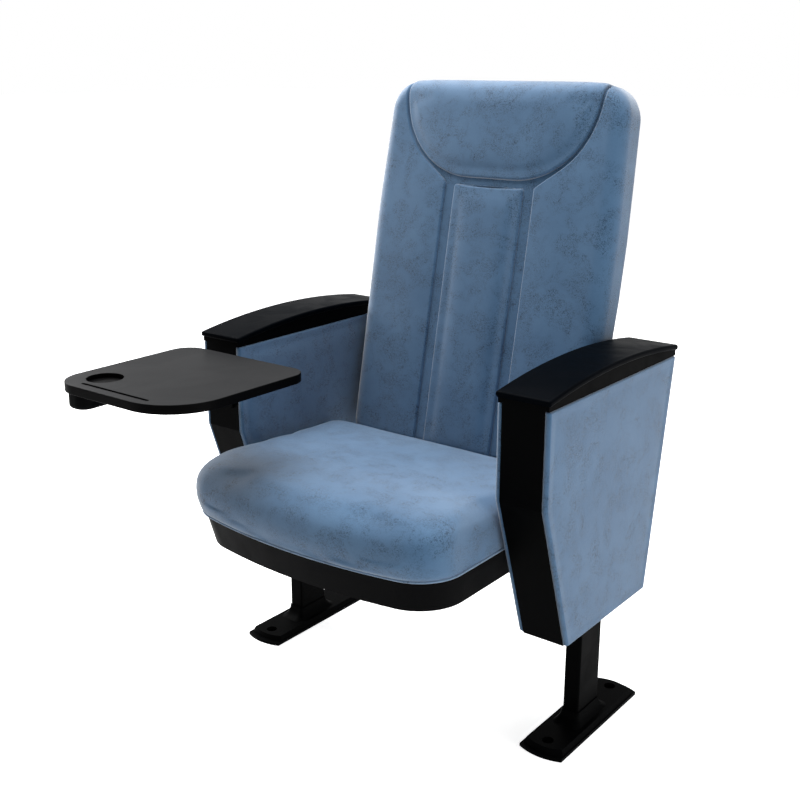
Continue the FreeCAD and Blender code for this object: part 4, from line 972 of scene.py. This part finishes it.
def moved_in(corners, amounts):
    """Move each side of an anticlockwise outline in by its own amount and meet again at the corners."""
    ahead = np.roll(corners, -1, axis=0) - corners
    normal = np.stack([-ahead[:, 1], ahead[:, 0]], axis=-1) / np.linalg.norm(ahead, axis=1, keepdims=True)
    reach = (normal * corners).sum(1) + amounts
    before, before_reach = np.roll(normal, 1, axis=0), np.roll(reach, 1)
    det = before[:, 0] * normal[:, 1] - before[:, 1] * normal[:, 0]
    y = (before_reach * normal[:, 1] - before[:, 1] * reach) / det
    z = (before[:, 0] * reach - before_reach * normal[:, 0]) / det
    return np.stack([y, z], axis=-1)


panel_outline = rounded(moved_in(ARM_CORNERS, np.array([1.0, 1.0, 1.0, 1.0, 0.1]) * PANEL_GAP), 2.5)


def panel_lift(base, way, side):
    """A flat base at one X: plan (y, z) with the height along that way, mirrored by side."""

    def lift(plan, height):
        x = side * (base + way * (height + 0.02))
        return np.stack([x, plan[..., 0], plan[..., 1]], axis=-1)

    return lift


panels = []
for side, label in ((1.0, "right"), (-1.0, "left")):
    for where, (base, way) in PANEL_BASE.items():
        outline = dense(panel_outline, 5.0)
        lift = panel_lift(base, way, side)
        panel = pad(f"arm_{where}_panel_{label}", outline, lift, axis=1, counts=(96, 84),
                    tight=(2.0, 2.0), rise=8.2, roll=2.8, crown=0.9, crown_reach=60.0, swell=0.8, sink=0.0)
        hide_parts(f"arm_{where}_pad_{label}")
        panels.append(panel)
for piece in panels:
    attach(piece, "stand")
print("arm panels:", len(panels))

# %% [markdown]
# ## Floor, light and background
#
# The floor is a plain pale sheet that only has to catch the shadow. A large soft lamp hangs above
# and a little behind the seat, so tops are bright and fronts are darker, as in the photograph;
# two weaker ones stand at the sides. The world is white to the camera and dimmer as light.

# %% Floor
FLOOR_HALF = 30.0
FLOOR_GLOW = 0.80
floor_mesh = bpy.data.meshes.new("floor")
corners = [(-FLOOR_HALF, -FLOOR_HALF, 0.0), (FLOOR_HALF, -FLOOR_HALF, 0.0),
           (FLOOR_HALF, FLOOR_HALF, 0.0), (-FLOOR_HALF, FLOOR_HALF, 0.0)]
floor_mesh.from_pydata(corners, [], [(0, 1, 2, 3)])
floor = bpy.data.objects.new("floor", floor_mesh)
bpy.context.scene.collection.objects.link(floor)
floor_material, tree, shader = new_material("floor", (0.8, 0.8, 0.8))
shader.inputs["Roughness"].default_value = 0.9
shader.inputs["Specular IOR Level"].default_value = 0.1
shader.inputs["Emission Color"].default_value = (1.0, 1.0, 1.0, 1.0)
glow = maths(tree, "MULTIPLY", seen_directly(tree), FLOOR_GLOW)
tree.links.new(glow, shader.inputs["Emission Strength"])
floor_mesh.materials.append(floor_material)
print("floor", 2 * FLOOR_HALF, "m square")

# %% World and lamps
WORLD_LIGHT = 0.26
world = bpy.data.worlds.new("studio")
bpy.context.scene.world = world
world.use_nodes = True
tree = world.node_tree
background = tree.nodes["Background"]
background.inputs["Color"].default_value = (1.0, 1.0, 1.0, 1.0)
strength = remap(tree, seen_directly(tree), 0.0, 1.0, WORLD_LIGHT, 1.0)
tree.links.new(strength, background.inputs["Strength"])


def lamp(name, place, aim, size, watts):
    data = bpy.data.lights.new(name, "AREA")
    data.shape = "RECTANGLE"
    data.size, data.size_y = size
    data.energy = watts
    made = bpy.data.objects.new(name, data)
    bpy.context.scene.collection.objects.link(made)
    made.location = place
    made.rotation_mode = "QUATERNION"
    made.rotation_quaternion = (Vector(aim) - Vector(place)).to_track_quat("-Z", "Y")
    return made


lamp("overhead", (-0.5, 0.25, 2.9), (0.0, 0.0, 0.5), (2.6, 2.4), 150.0)
lamp("left_side", (-2.4, 0.2, 1.5), (0.0, 0.1, 0.7), (0.9, 0.9), 60.0)
lamp("right_side", (2.4, -0.2, 0.5), (0.3, 0.0, 0.4), (1.2, 0.7), 26.0)
print("lamps: 3")
